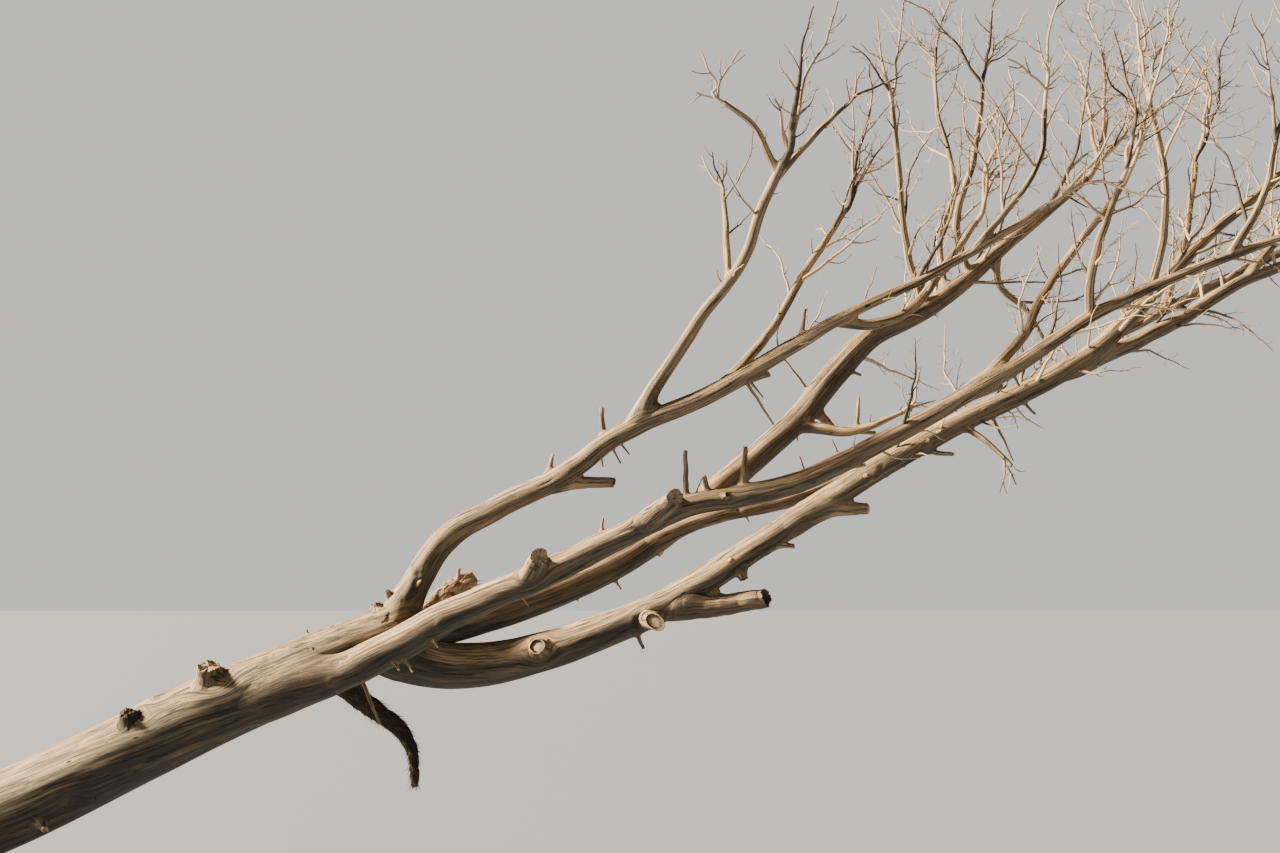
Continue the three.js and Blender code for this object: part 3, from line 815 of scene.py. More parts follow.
def nearest_on_limb(points, name, low, high):
    """Distance from points to the true surface of a stretch of a limb, and the grain there."""
    line = lines[name]
    shares = np.linspace(low, high, 25)
    nodes = line.point(shares)
    starts, spans = nodes[:-1], np.diff(nodes, axis=0)
    part = np.einsum("pik,ik->pi", points[:, None] - starts, spans) / np.einsum("ik,ik->i", spans, spans)
    part = np.clip(part, 0, 1)
    away = points[:, None] - starts - part[..., None] * spans
    nearest = np.argmin(np.einsum("pik,pik->pi", away, away), axis=1)
    row = np.arange(len(points))
    share = shares[nearest] + part[row, nearest] * (shares[1] - shares[0])
    _, _, binormal, normal = frames_at(name, share)
    across = away[row, nearest]
    theta = np.arctan2(np.einsum("pk,pk->p", across, normal), np.einsum("pk,pk->p", across, binormal))
    plain, radius, turn, _ = surfaces[name].radius(theta, share * line.length)
    return np.linalg.norm(across, axis=1) - radius, grain_place(plain, turn, share * line.length)


def collar_window(bearer, at, size):
    """The stretch of the bearer that a collar can touch, in shares."""
    window = (size * 2.5 + 0.25) / lines[bearer].length
    return np.clip((at - window, at + window), 0, 1)


def grain_of_bearer(rows, bearer, at, size):
    """The bearer's grain for each point of a limb, and how much it holds there."""
    away, grain = nearest_on_limb(rows.reshape(-1, 3), bearer, *collar_window(bearer, at, size))
    share = np.clip((away.reshape(rows.shape[:2]) / size - 0.04) / 0.5, 0, 1)
    return grain.reshape(rows.shape), 1 - share * share * (3 - 2 * share)


blend_samples = 12
sink = 0.05
limb_collar = 1.7
widest_collar = 0.13
stub_collar = 1.2
collar_rise = 3.5
point_length = 0.9


def collar_reach(centres, outward, radius, bearer, at, size, rise):
    """Radius of each point of a limb, grown to its blend with its bearer, which is full at the share rise."""
    low, high = collar_window(bearer, at, size)
    touching = nearest_on_limb(centres, bearer, low, high)[0] < radius.max(axis=1) + size
    samples = np.linspace(0, 1, blend_samples)
    settle = np.clip(np.arange(len(centres)) / (rise * (len(centres) - 1)), 0.04, 1)[touching]
    width = size * (settle * settle * (3 - 2 * settle))[:, None, None]
    reach = radius[touching][..., None] + size * samples
    points = centres[touching][:, None, None] + outward[touching][:, :, None] * reach[..., None]
    away = nearest_on_limb(points.reshape(-1, 3), bearer, low, high)[0].reshape(reach.shape) + sink * size
    own = size * samples
    overlap = np.maximum(width - np.abs(away - own), 0) / width
    field = np.minimum(away, own) - overlap**2 * width / 4
    outside = field >= 0
    outside[..., 0] = False
    first = np.where(outside.any(axis=-1), np.argmax(outside, axis=-1), blend_samples - 1)
    low_field = np.take_along_axis(field, first[..., None] - 1, -1)[..., 0]
    high_field = np.take_along_axis(field, first[..., None], -1)[..., 0]
    part = np.clip(-low_field / np.maximum(high_field - low_field, 1e-9), 0, 1)
    grown = size * (first - 1 + part) / (blend_samples - 1)
    buried = np.clip((away[..., 0] / size + 1.0) / 0.6, 0, 1)
    blended = radius.copy()
    blended[touching] += grown * buried
    return blended


print("blend", blend_samples, "samples deep")

# %% [markdown]
# ## From rings to a mesh
#
# Every limb and stub becomes one closed grid: rings along it, a pole at each end, and rings that fold inwards
# over a broken end. Some values go with each point for the material to read: where it lies in the grain, where
# it would lie in its bearer's grain, and how much it is crack, knot (with painted shade in holes, hollows and
# dark snags), end grain or collar.


# %% Grid to mesh
def grid_mesh(name, rows, start_pole, end_pole, grains, marks):
    """A closed mesh from rings of points, with the grain and mark attributes."""
    count, sides = rows.shape[:2]
    points = np.vstack([rows.reshape(-1, 3), start_pole, end_pole])
    index = np.arange(count * sides).reshape(count, sides)
    after = np.roll(index, -1, axis=1)
    quads = np.stack([index[:-1], index[1:], after[1:], after[:-1]], -1).reshape(-1, 4)
    first = np.stack([np.full(sides, count * sides), index[0], after[0]], -1)
    last = np.stack([np.full(sides, count * sides + 1), after[-1], index[-1]], -1)
    mesh = bpy.data.meshes.new(name)
    mesh.from_pydata(points.tolist(), [], quads.tolist() + first.tolist() + last.tolist())
    for label, grain in grains.items():
        poles = [grain[0].mean(axis=0), grain[-1].mean(axis=0)]
        values = np.vstack([grain.reshape(-1, 3), poles])
        mesh.attributes.new(label, "FLOAT_VECTOR", "POINT").data.foreach_set("vector", values.ravel())
    for label, mark in marks.items():
        values = np.concatenate([mark.ravel(), [mark[0].mean(), mark[-1].mean()]])
        mesh.attributes.new(label, "FLOAT", "POINT").data.foreach_set("value", values)
    mesh.shade_smooth()
    return mesh


def join_meshes(name, meshes):
    """One object from several meshes that carry the same attributes."""
    parts = [add_object(f"{name}_{i}", mesh) for i, mesh in enumerate(meshes)]
    whole = parts[0]
    if len(parts) > 1:
        with bpy.context.temp_override(active_object=whole, selected_editable_objects=parts):
            bpy.ops.object.join()
    whole.name = name
    whole.data.name = name
    return whole


# %% Broken ends
# Each end style: how far the rim is torn, as a share of the radius, then for each ring from the rim to the
# middle how far it stands out, as a share of the radius, and how dark it is.
end_rings = np.array((1.0, 0.97, 0.9, 0.78, 0.6, 0.42, 0.25, 0.1))
end_styles = {
    "stem": (0.0, (0, 0.05, 0.1, 0.15, 0.2, 0.25, 0.3, 0.3), (0, 0, 0, 0, 0, 0, 0, 0)),
    "healed": (0.06, (0.03, 0.12, 0.12, -0.2, -0.14, -0.1, -0.1, -0.1), (0, 0.1, 0.7, 1, 0.4, 0, 0, 0)),
    "cracked": (0.3, (0, 0.02, 0, -0.04, -0.06, -0.04, -0.07, -0.1), (0.2, 0.5, 0.2, 0.35, 0.1, 0.1, 0.4, 0.6)),
    "blunt": (0.12, (0.05, 0.15, 0.25, 0.35, 0.42, 0.45, 0.45, 0.45), (0, 0, 0, 0.1, 0.2, 0.3, 0.4, 0.4)),
    "torn": (0.9, (0, -0.1, -0.2, -0.35, -0.45, -0.5, -0.5, -0.5), (0, 0, 0, 0.1, 0.15, 0.2, 0.2, 0.2)),
    # The dark style paints shade: its darkened end stands for snags that lie in shade.
    "dark": (0.5, (0, -0.05, -0.1, -0.3, -0.4, -0.4, -0.4, -0.4), (0.8, 0.9, 1, 1, 1, 1, 1, 1)),
    "rotten": (0.45, (0, 0, 0.1, 0.1, 0.1, 0.2, 0.1, 0.1), (1, 1, 1, 1, 1, 1, 1, 1)),
    # The hollow style's dark inside is painted shade in the deep hollow.
    "hollow": (0.3, (0, -0.02, -0.1, -0.5, -0.9, -1.2, -1.4, -1.5), (0.4, 0.8, 1, 1, 1, 1, 1, 1)),
    "spike": (1.6, (0, 0.1, 0.2, 0.35, 0.45, 0.55, 0.6, 0.6), (0, 0, 0, 0, 0, 0, 0, 0)),
    "splinter": (2.4, (0, 0, 0, 0, 0, 0, 0, 0), (0, 0, 0, 0, 0, 0, 0, 0)),
}
# How far the side of a stub darkens towards its end, in each end style; on the dark and hollow styles this
# darkening is painted shade.
dark_sides = {"rotten": 1.0, "dark": 0.35, "cracked": 0.15, "hollow": 0.15}
limb_end_styles = {"trunk": "torn", "hanging_limb": "torn", "broken_limb": "blunt"}


def end_lengths(theta, radius, torn, seed):
    """How far each line of a limb runs past its nominal end, torn into splinters."""
    around = np.stack([np.cos(theta), np.sin(theta), np.zeros_like(theta)], -1)
    broad = smooth_noise(around * 1.6, seed)
    sharp = np.abs(smooth_noise(around * 5.5, seed + 1)) ** 0.7
    return radius * torn * (0.6 * broad + 0.7 * sharp - 0.35)


def end_cap(base, centre, tangent, radius, lengths, torn, depths, seed):
    """Rings that fold from the rim of a broken end to its middle."""
    spokes = base - centre
    spokes = spokes - (spokes @ tangent)[:, None] * tangent
    rows = []
    for share, depth in zip(end_rings * 0.97, depths):
        rough = smooth_noise(spokes * share / radius * 2.5 + 7.7, seed)
        rise = lengths * share + radius * (depth + 0.25 * torn * share * rough)
        rows.append(centre + spokes * share + tangent * rise[:, None])
    return np.stack(rows)


print("end styles:", ", ".join(end_styles))


# %% [markdown]
# ## The trunk and the limbs
#
# The trunk starts at a flat cut in the ground, so each of its long lines begins where it crosses the ground, and
# its foot spreads into buttresses that die away upwards. The other limbs begin inside their bearer.


# %% Shape a limb
def shape_tube(name, surface, side_step, ring_step, end, foot=None, bearer=None, slant=(0, 0, 0)):
    """A limb or stub as a mesh, with its relief, its broken end and its collar on the bearer."""
    line, radii, seed = surface.line, surface.radii, surface.seed
    thick = max(surface.usual, 0.5 * radii[0])
    sides = int(np.clip(2 * np.pi * thick / side_step, 14, 230))
    count = int(max(10, line.length / ring_step))
    shares = np.linspace(0, 1, count + 1)
    centres, tangents, binormals, normals = frames_along(line, shares)
    theta = np.tile(np.arange(sides) * 2 * np.pi / sides, (count + 1, 1))
    along = np.repeat(shares[:, None] * line.length, sides, axis=1)
    outward = binormals[:, None] * np.cos(theta)[..., None] + normals[:, None] * np.sin(theta)[..., None]
    plain, radius, turn, knot_and_shade = surface.radius(theta, along)
    crack = drying_cracks(turn, along, plain, line.length, seed + 5)
    radius -= crack * (0.0015 + 0.03 * plain)
    if foot:
        radius = foot(radius, theta, centres[:, 2])
    if bearer:
        bearer_name, at, size, rise, point = bearer
        hidden = np.clip(along / (point * radii[0]), 0.02, 1) ** 0.5
        rise = min(rise * radii[0] / line.length, 1)
        radius = collar_reach(centres, outward, radius * hidden, bearer_name, at, size, rise)
    rows = centres[:, None] + outward * radius[..., None]
    torn, depths, darkness = end_styles[end]
    knot_and_shade = np.maximum(knot_and_shade, dark_sides.get(end, 0) * np.clip(3 * along / line.length - 1.8, 0, 1))
    lengths = end_lengths(theta[-1], radii[-1], torn, seed + 9) + radii[-1] * (outward[-1] @ np.array(slant))
    reach = np.clip(1 - (line.length - along) / (4 * radii[-1]), 0, 1) ** 1.5
    rows += tangents[:, None] * (reach * lengths)[..., None]
    if foot:
        rows = cut_at_ground(rows)
    rim = rows[-1] - tangents[-1] * lengths[:, None]
    cap = end_cap(rim, centres[-1], tangents[-1], radii[-1], lengths, torn, depths, seed + 11)
    grain = grain_place(plain, turn, along)
    other_grain, joined = grain, np.zeros_like(crack)
    if bearer:
        other_grain, joined = grain_of_bearer(rows, bearer_name, at, size)
    other_grain = np.concatenate([other_grain, np.repeat(other_grain[-1:], len(cap), axis=0)])
    cap_grain = np.repeat(grain[-1:], len(cap), axis=0)
    cap_grain[..., :2] *= end_rings[:, None, None]
    marks = {"crack": crack, "knot_and_shade": knot_and_shade, "end": np.zeros_like(crack), "joined": joined}
    marks = {label: np.vstack([mark, np.repeat(mark[-1:], len(cap), axis=0)]) for label, mark in marks.items()}
    marks["end"][-len(cap):] = 1
    marks["knot_and_shade"][-len(cap):] = np.array(darkness)[:, None]
    grains = {"grain": np.concatenate([grain, cap_grain]), "bearer_grain": other_grain}
    rings = np.concatenate([rows, cap])
    return grid_mesh(name, rings, rows[0].mean(axis=0), cap[-1].mean(axis=0), grains, marks)


# %% The foot of the trunk
flare_rise = 0.17
flare_reach = 0.34
flare_lobes = 5


def spread_foot(radius, theta, heights):
    """Buttresses round the foot, which die away with height."""
    flare = flare_reach * np.exp(-np.maximum(heights, 0) / flare_rise)
    return radius * (1 + flare[:, None] * (1 + 0.6 * np.cos(flare_lobes * theta)))


def cut_at_ground(rows):
    """Slides the points of each long line so that the line begins on the ground."""
    count, sides = rows.shape[:2]
    shares = np.linspace(0, 1, count)
    cut = np.empty_like(rows)
    for j in range(sides):
        heights = rows[:, j, 2]
        above = int(np.argmax(heights > 0))
        part = -heights[above - 1] / (heights[above] - heights[above - 1])
        first = shares[above - 1] + part * (shares[above] - shares[above - 1])
        places = first + (1 - first) * shares
        cut[:, j] = np.stack([np.interp(places, shares, axis) for axis in rows[:, j].T], -1)
    cut[0, :, 2] = 0
    return cut


# %% Bark shreds
shreds_per_metre = 700
shred_width = 0.0028


def bark_shreds(name):
    """Slivers of loose bark that stand off a limb."""
    surface = surfaces[name]
    line = surface.line
    chance = random_stream(surface.seed + 15)
    around = np.arange(5) * 2 * np.pi / 5
    meshes = []
    for _ in range(round(shreds_per_metre * line.length)):
        theta = np.array([[next(chance) * 2 * np.pi]])
        share = 0.12 + 0.86 * next(chance) ** 0.8
        along = np.array([[share * line.length]])
        plain, radius, turn, _ = surface.radius(theta, along)
        centre, tangent, binormal, normal = frames_at(name, share)
        out = binormal * math.cos(theta[0, 0]) + normal * math.sin(theta[0, 0])
        side = np.cross(tangent, out)
        run = 0.018 + 0.034 * next(chance) ** 2
        lift = 0.15 + 0.5 * next(chance)
        veer = 0.9 * (next(chance) - 0.5)
        root = centre + out * (radius[0, 0] - 0.002)
        rows = []
        for step in (0, 0.35, 0.7, 1):
            middle = root + run * (tangent * step + out * lift * step * step + side * veer * step)
            width = shred_width * (1 - 0.8 * step)
            rows.append(middle + width * (np.cos(around)[:, None] * side + 0.4 * np.sin(around)[:, None] * out))
        rows = np.array(rows)
        grain = np.broadcast_to(grain_place(plain, turn, along)[0, 0], rows.shape)
        grain = grain + (rows - root) @ np.array([side, out, tangent]).T
        marks = {label: np.zeros(rows.shape[:2]) for label in ("crack", "knot_and_shade", "end", "joined")}
        meshes.append(grid_mesh(f"{name}_shred", rows, rows[0].mean(axis=0), rows[-1].mean(axis=0),
                                {"grain": grain, "bearer_grain": grain}, marks))
    return meshes


# %% Make the limbs
wood_side_step = 0.0047
wood_ring_step = 0.0082
stub_step = 0.0035

stub_kinks = 0.0035
stub_kink_length = 0.05
stub_kinks_begin = 0.12


def shape_limb(name):
    """All the meshes of one limb: the limb and its stubs."""
    limb = limbs[name]
    line = lines[name]
    bearer = None
    if "from" in limb:
        bearer = (limb["from"], limb["at"], min(limb_collar * limb["radii"][0] * MM, widest_collar),
                  limb.get("rise", collar_rise), limb.get("point", point_length))
    end = limb_end_styles.get(name, "stem")
    meshes = [shape_tube(name, surfaces[name], wood_side_step, wood_ring_step, end,
                         foot=None if bearer else spread_foot, bearer=bearer)]
    for number, stub in enumerate(all_stubs(name)):
        root = line.point(stub["at"])
        reach = np.array(stub["reach"]) * MM
        bow = np.array(stub.get("bow", (0, 0, 0))) * MM
        seed = surfaces[name].seed + number
        smooth = Line([root, root + reach * 0.5 + bow, root + reach])
        stub_line = smooth.wavered(stub_kinks, stub_kink_length, stub_kinks_begin, seed)
        surface = Surface(stub_line, stub["radii"], seed + 20, stub_pits(stub, stub_line), swirl=number)
        meshes.append(shape_tube(f"{name}_stub_{number}", surface, stub_step, stub_step, stub["end"],
                                 bearer=(name, stub["at"], stub.get("blend", stub_collar) * surface.radii[0],
                                         collar_rise, point_length),
                                 slant=stub.get("slant", (0, 0, 0))))
    return meshes + (bark_shreds(name) if name in barked else [])


limb_pieces = {name: join_meshes(f"{name}_wood", shape_limb(name)) for name in limbs}
print("limb faces:", sum(len(piece.data.polygons) for piece in limb_pieces.values()))

# %% [markdown]
# ## The crown
#
# A bare crown is all line. Each mass starts as one stem that carries its bough on, leaders fork from the stem
# and bend to the crown's outline, and side twigs stand round each leader in golden-angle turns, as buds do.
# The same rule then runs again on the twigs. Any twig is left out where it would touch a limb or leave the
# solids' box. A coarse one is also left out where it would come nearer to a neighbour's leaders than to its own,
# so every mass keeps to its own space.

# %% Twig rule
stem_overlap = 30 * MM
stem_straight = 45 * MM
leader_tip = 2.6 * MM
twig_spacing = 165 * MM
twig_share = 0.5
twig_shortest = 70 * MM
twig_clearance = 14 * MM
border_clearance = 12 * MM
golden_angle = 2.39996
leader_kinks = 14 * MM
twig_kinks = 9 * MM
kink_length = 0.13
fine_kinks = 3.5 * MM
fine_kink_length = 0.035
fine_spacing = 40 * MM
finest_spacing = 28 * MM
fine_clearance = 3 * MM
mass_seed = 4000
leader_first = 0.1
leader_gap = 0.11
leader_thinner = 0.82


def leader_line(start, direction, end, straight, seed):
    """A leader bends from its first direction to its end, with a slight seeded waver."""
    chance = random_stream(seed)
    chord = end - start
    length = np.linalg.norm(chord)
    pull = direction * length - chord

    def waver(share):
        return square_to(chord / length, next(chance) * math.pi * 2) * length * share

    knee = start + chord * 0.38 + pull * 0.13 + waver(0.045)
    elbow = start + chord * 0.72 + pull * 0.05 + waver(0.04)
    lead = [start + direction * straight] if straight > 0 else []
    return Line([start, *lead, knee, elbow, end], steps=12)


def taper(root, tip):
    """Radius along a leader, thinner towards its end."""
    return lambda share: root + (tip - root) * share**0.8


def mass_leaders(name, index):
    """The stem and leaders of one mass, before any side twig."""
    bearer = lines[name]
    seed = child_seed(mass_seed + index, 0)
    direction = bearer.tangent(1)
    root = bearer.point(1) - direction * stem_overlap
    stem_end, *ends = (np.array(end) * MM for end in crown[name])
    stem_line = leader_line(root, direction, stem_end, stem_straight + stem_overlap, seed)
    stem_line = stem_line.wavered(leader_kinks, kink_length, 0.15, seed % 1000)
    stem_radius = taper(limbs[name]["radii"][-1] * MM, leader_tip)
    leaders = [{"line": stem_line, "radius": stem_radius, "seed": seed}]
    for i, end in enumerate(ends):
        at = leader_first + leader_gap * i
        line = leader_line(stem_line.point(at), stem_line.tangent(at), end, 0, child_seed(seed, 50 + i))
        line = line.wavered(leader_kinks, kink_length, 0.1, (seed + i) % 1000)
        radius = taper(leader_thinner * stem_radius(at), leader_tip)
        leaders.append({"line": line, "radius": radius, "seed": child_seed(seed, 60 + i)})
    return leaders


masses = [(name, mass_leaders(name, index)) for index, name in enumerate(crown)]
print("leaders:", sum(len(leaders) for _, leaders in masses))


# %% Each mass's own space
def segments_of(line, count):
    """Both ends of each stretch of a line cut into even stretches."""
    points = line.point(np.linspace(0, 1, count + 1))
    return points[:-1], points[1:]


def segment_distances(points, starts, ends):
    """Distance from each point to each segment."""
    spans = ends - starts
    share = np.einsum("pik,ik->pi", points[:, None] - starts, spans) / np.einsum("ik,ik->i", spans, spans)
    share = np.clip(share, 0, 1)
    nearest = starts + share[..., None] * spans
    return np.linalg.norm(points[:, None] - nearest, axis=-1)


limb_stretches = 30
leader_stretches = 12

limb_starts, limb_ends, limb_radii = [], [], []
for name, line in lines.items():
    starts, ends = segments_of(line, limb_stretches)
    limb_starts.append(starts)
    limb_ends.append(ends)
    limb_radii.append(along_list(limbs[name]["radii"], np.linspace(0, 1, limb_stretches + 1))[:-1] * MM)
limb_starts, limb_ends, limb_radii = map(np.concatenate, (limb_starts, limb_ends, limb_radii))

leader_owner, leader_starts, leader_ends = [], [], []
for index, (_, leaders) in enumerate(masses):
    for leader in leaders:
        starts, ends = segments_of(leader["line"], leader_stretches)
        leader_starts.append(starts)
        leader_ends.append(ends)
        leader_owner.append(np.full(leader_stretches, index))
leader_owner, leader_starts, leader_ends = map(np.concatenate, (leader_owner, leader_starts, leader_ends))
box_low, box_high = (np.array(corner) for corner in cad_box)


def clear_of_limbs(points, radius, clearance):
    """Whether every point keeps clear of the limbs and inside the solids' box."""
    if (points < box_low + radius).any() or (points > box_high - radius).any():
        return False
    to_limbs = segment_distances(points, limb_starts, limb_ends)
    return bool((to_limbs - limb_radii > radius + clearance).all())


def in_own_space(points, radius, mass_index, clearance):
    """Whether every point is clear of the limbs and nearer to its own leaders than to other masses'."""
    if not clear_of_limbs(points, radius, clearance):
        return False
    to_leaders = segment_distances(points, leader_starts, leader_ends)
    mine = leader_owner == mass_index
    own = to_leaders[:, mine].min(axis=1)
    other = to_leaders[:, ~mine].min(axis=1)
    return bool((own < other - radius - border_clearance).all())


print(len(limb_starts), "limb stretches and", len(leader_starts), "leader stretches to keep clear of")


# %% Side twigs
def side_twigs(leader, mass_index):
    """The coarse side twigs, by the same rule as in the solids."""
    length = leader["line"].length
    count = max(2, round(length / twig_spacing))
    twigs = []
    for i in range(count):
        seed = child_seed(leader["seed"], i)
        chance = random_stream(seed)
        at = 0.2 + 0.72 * (i + 0.2 + 0.6 * next(chance)) / count
        root = leader["line"].point(at)
        tangent = leader["line"].tangent(at)
        lean = 0.6 + 0.4 * next(chance)
        side = square_to(tangent, i * golden_angle + next(chance))
        direction = tangent * math.cos(lean) + side * math.sin(lean)
        reach = max(twig_shortest, length * twig_share * (1.05 - at)) * (0.7 + 0.5 * next(chance))
        end = root + direction * reach + np.array((0, 0, reach * 0.18))
        radius = max(0.62 * leader["radius"](at), 3 * MM)
        line = Line([root, root + direction * reach * 0.55, end], steps=10)
        line = line.wavered(twig_kinks, kink_length / 2, 0.08, seed % 1000)
        if in_own_space(line.point(np.linspace(0, 1, 7)), radius, mass_index, twig_clearance):
            twigs.append({"line": line, "radius": taper(radius, 1.6 * MM), "seed": seed})
    return twigs


def finer_twigs(bearer, spacing, share, shortest, first):
    """Thinner twigs on a leader or twig, by the same rule on a closer spacing."""
    length = bearer["line"].length
    twigs = []
    for i in range(int(length * (1 - first) / spacing)):
        seed = child_seed(bearer["seed"], 200 + i)
        chance = random_stream(seed)
        at = first + (1 - first) * (i + next(chance)) * spacing / (length * (1 - first))
        if at > 0.97:
            continue
        root = bearer["line"].point(at)
        tangent = bearer["line"].tangent(at)
        lean = 0.5 + 0.6 * next(chance)
        side = square_to(tangent, i * golden_angle + next(chance))
        direction = tangent * math.cos(lean) + side * math.sin(lean)
        reach = max(shortest, length * share * (1.1 - at)) * (0.45 + 0.8 * next(chance))
        bend = square_to(direction, next(chance) * 6.3) * reach * 0.13
        knee = root + direction * reach * 0.5 + bend
        end = root + direction * reach + np.array((0, 0, reach * 0.15))
        radius = float(np.clip(0.6 * bearer["radius"](at), 1.3 * MM, 3.6 * MM))
        line = Line([root, knee, end], steps=5)
        if line.length > 2 * fine_kink_length:
            line = line.wavered(fine_kinks, fine_kink_length, 0.1, seed % 1000)
        if clear_of_limbs(line.point(np.linspace(0.25, 1, 4)), radius, fine_clearance):
            twigs.append({"line": line, "radius": taper(radius, 0.9 * MM), "seed": seed})
    return twigs


def fine_growth(bearers, spacing):
    """Fine and finest twigs on the thicker ones."""
    fine = [twig for bearer in bearers for twig in finer_twigs(bearer, spacing, 0.3, 30 * MM, 0.16)]
    long_ones = [twig for twig in fine if twig["line"].length > 70 * MM]
    finest = [twig for bearer in long_ones for twig in finer_twigs(bearer, finest_spacing, 0.4, 14 * MM, 0.3)]
    return fine + finest


# The photo shows some masses sparser than the others, so fine twigs stand wider apart there.
sparse = {
    "upper_left_arm": 3.0, "upper_left_side": 2.5, "upper_left_fork": 1.6, "upper_left": 1.4, "low_droop": 2.0,
}


def grow_mass(mass_index, name, leaders):
    """Every twig of one mass: coarse, fine and finest."""
    coarse = [twig for leader in leaders for twig in side_twigs(leader, mass_index)]
    return leaders + coarse, fine_growth(leaders + coarse, fine_spacing * sparse.get(name, 1))


grown = {name: grow_mass(index, name, leaders) for index, (name, leaders) in enumerate(masses)}
print("thick twigs", sum(len(thick) for thick, _ in grown.values()))
print("thin twigs", sum(len(thin) for _, thin in grown.values()))


# %% Twigs along the limbs
# Where twigs begin on a limb, as a share of its length, and how far apart they stand in metres.
limb_twigs = {
    "upper_bough": (0.62, 0.13), "front_bough": (0.56, 0.11), "back_bough": (0.6, 0.1),
    "low_bough": (0.52, 0.1), "link_bough": (0.36, 0.1), "right_bough": (0.15, 0.1),
    "upper_left": (0.5, 0.17), "upper_left_side": (0.45, 0.12),
    "upper_left_arm": (0.3, 0.2), "upper_left_fork": (0.3, 0.14), "middle_riser": (0.35, 0.12),
    "cross_limb": (0.25, 0.11), "front_riser": (0.25, 0.1), "front_upright": (0.25, 0.1),
    "back_shoot_left": (0.15, 0.1), "back_shoot_far": (0.15, 0.1), "back_shoot_right": (0.15, 0.1),
    "back_droop": (0.2, 0.09), "upper_shoot": (0.3, 0.1), "low_riser": (0.2, 0.1), "link_riser": (0.2, 0.1),
    "front_tip_riser": (0.3, 0.1), "right_riser": (0.2, 0.1), "side_limb": (0.6, 0.12),
}
spur_share = 0.6  # short broken spurs stand between the twigs
along_seed = 7000


def twigs_on_limb(name, index):
    """Twigs and short spurs along one limb, more of them turned upwards."""
    first, spacing = limb_twigs[name]
    line = lines[name]
    chance = random_stream(along_seed + 31 * index)
    count = max(1, round(line.length * (1 - first) / (spacing * spur_share)))
    twigs = []
    for i in range(count):
        at = first + (0.98 - first) * (i + next(chance)) / count
        tangent = line.tangent(at)
        side = square_to(tangent, i * golden_angle + next(chance)) + np.array((0, 0, 0.45))
        side -= tangent * side.dot(tangent)
        side /= np.linalg.norm(side)
        lean = 0.55 + 0.65 * next(chance)
        direction = tangent * math.cos(lean) + side * math.sin(lean)
        reach = 0.03 + 0.5 * next(chance) ** 2.6
        limb_radius = float(along_list(limbs[name]["radii"], at)) * MM
        root = line.point(at) + side * limb_radius * 0.55
        bend = square_to(direction, next(chance) * 6.3) * reach * 0.12
        end = root + direction * (reach + 0.45 * limb_radius) + np.array((0, 0, reach * 0.15))
        radius = float(np.clip(0.0022 + 0.013 * reach + 0.05 * limb_radius, 0.0022, 0.55 * limb_radius))
        middle_point = (root + end) / 2 + bend
        smooth = Line([root, middle_point, end], steps=10)
        twig = smooth.wavered(twig_kinks, kink_length / 2, 0.08, index + i)
        if clear_of_limbs(twig.point(np.linspace(0.5, 1, 4)), radius, fine_clearance):
            seed = child_seed(along_seed + index, i)
            twigs.append({"line": twig, "radius": taper(radius, 1.3 * MM), "seed": seed})
    return twigs


along_limbs = [twig for index, name in enumerate(limb_twigs) for twig in twigs_on_limb(name, index)]
fine_along_limbs = fine_growth([twig for twig in along_limbs if twig["line"].length > 0.1], fine_spacing)
print(len(along_limbs), "twigs along the limbs with", len(fine_along_limbs), "finer ones")

# %% [markdown]
# ## Twigs as Geometry Nodes
#
# A twig is a shape that follows a path, so a small node tree makes it: the lines become curves, their points
# waver a little, a round profile runs along them at each point's own radius, and the result is one plain mesh.
# Thick twigs get more sides than thin ones. The tree has named inputs, and its noise depends only on place.


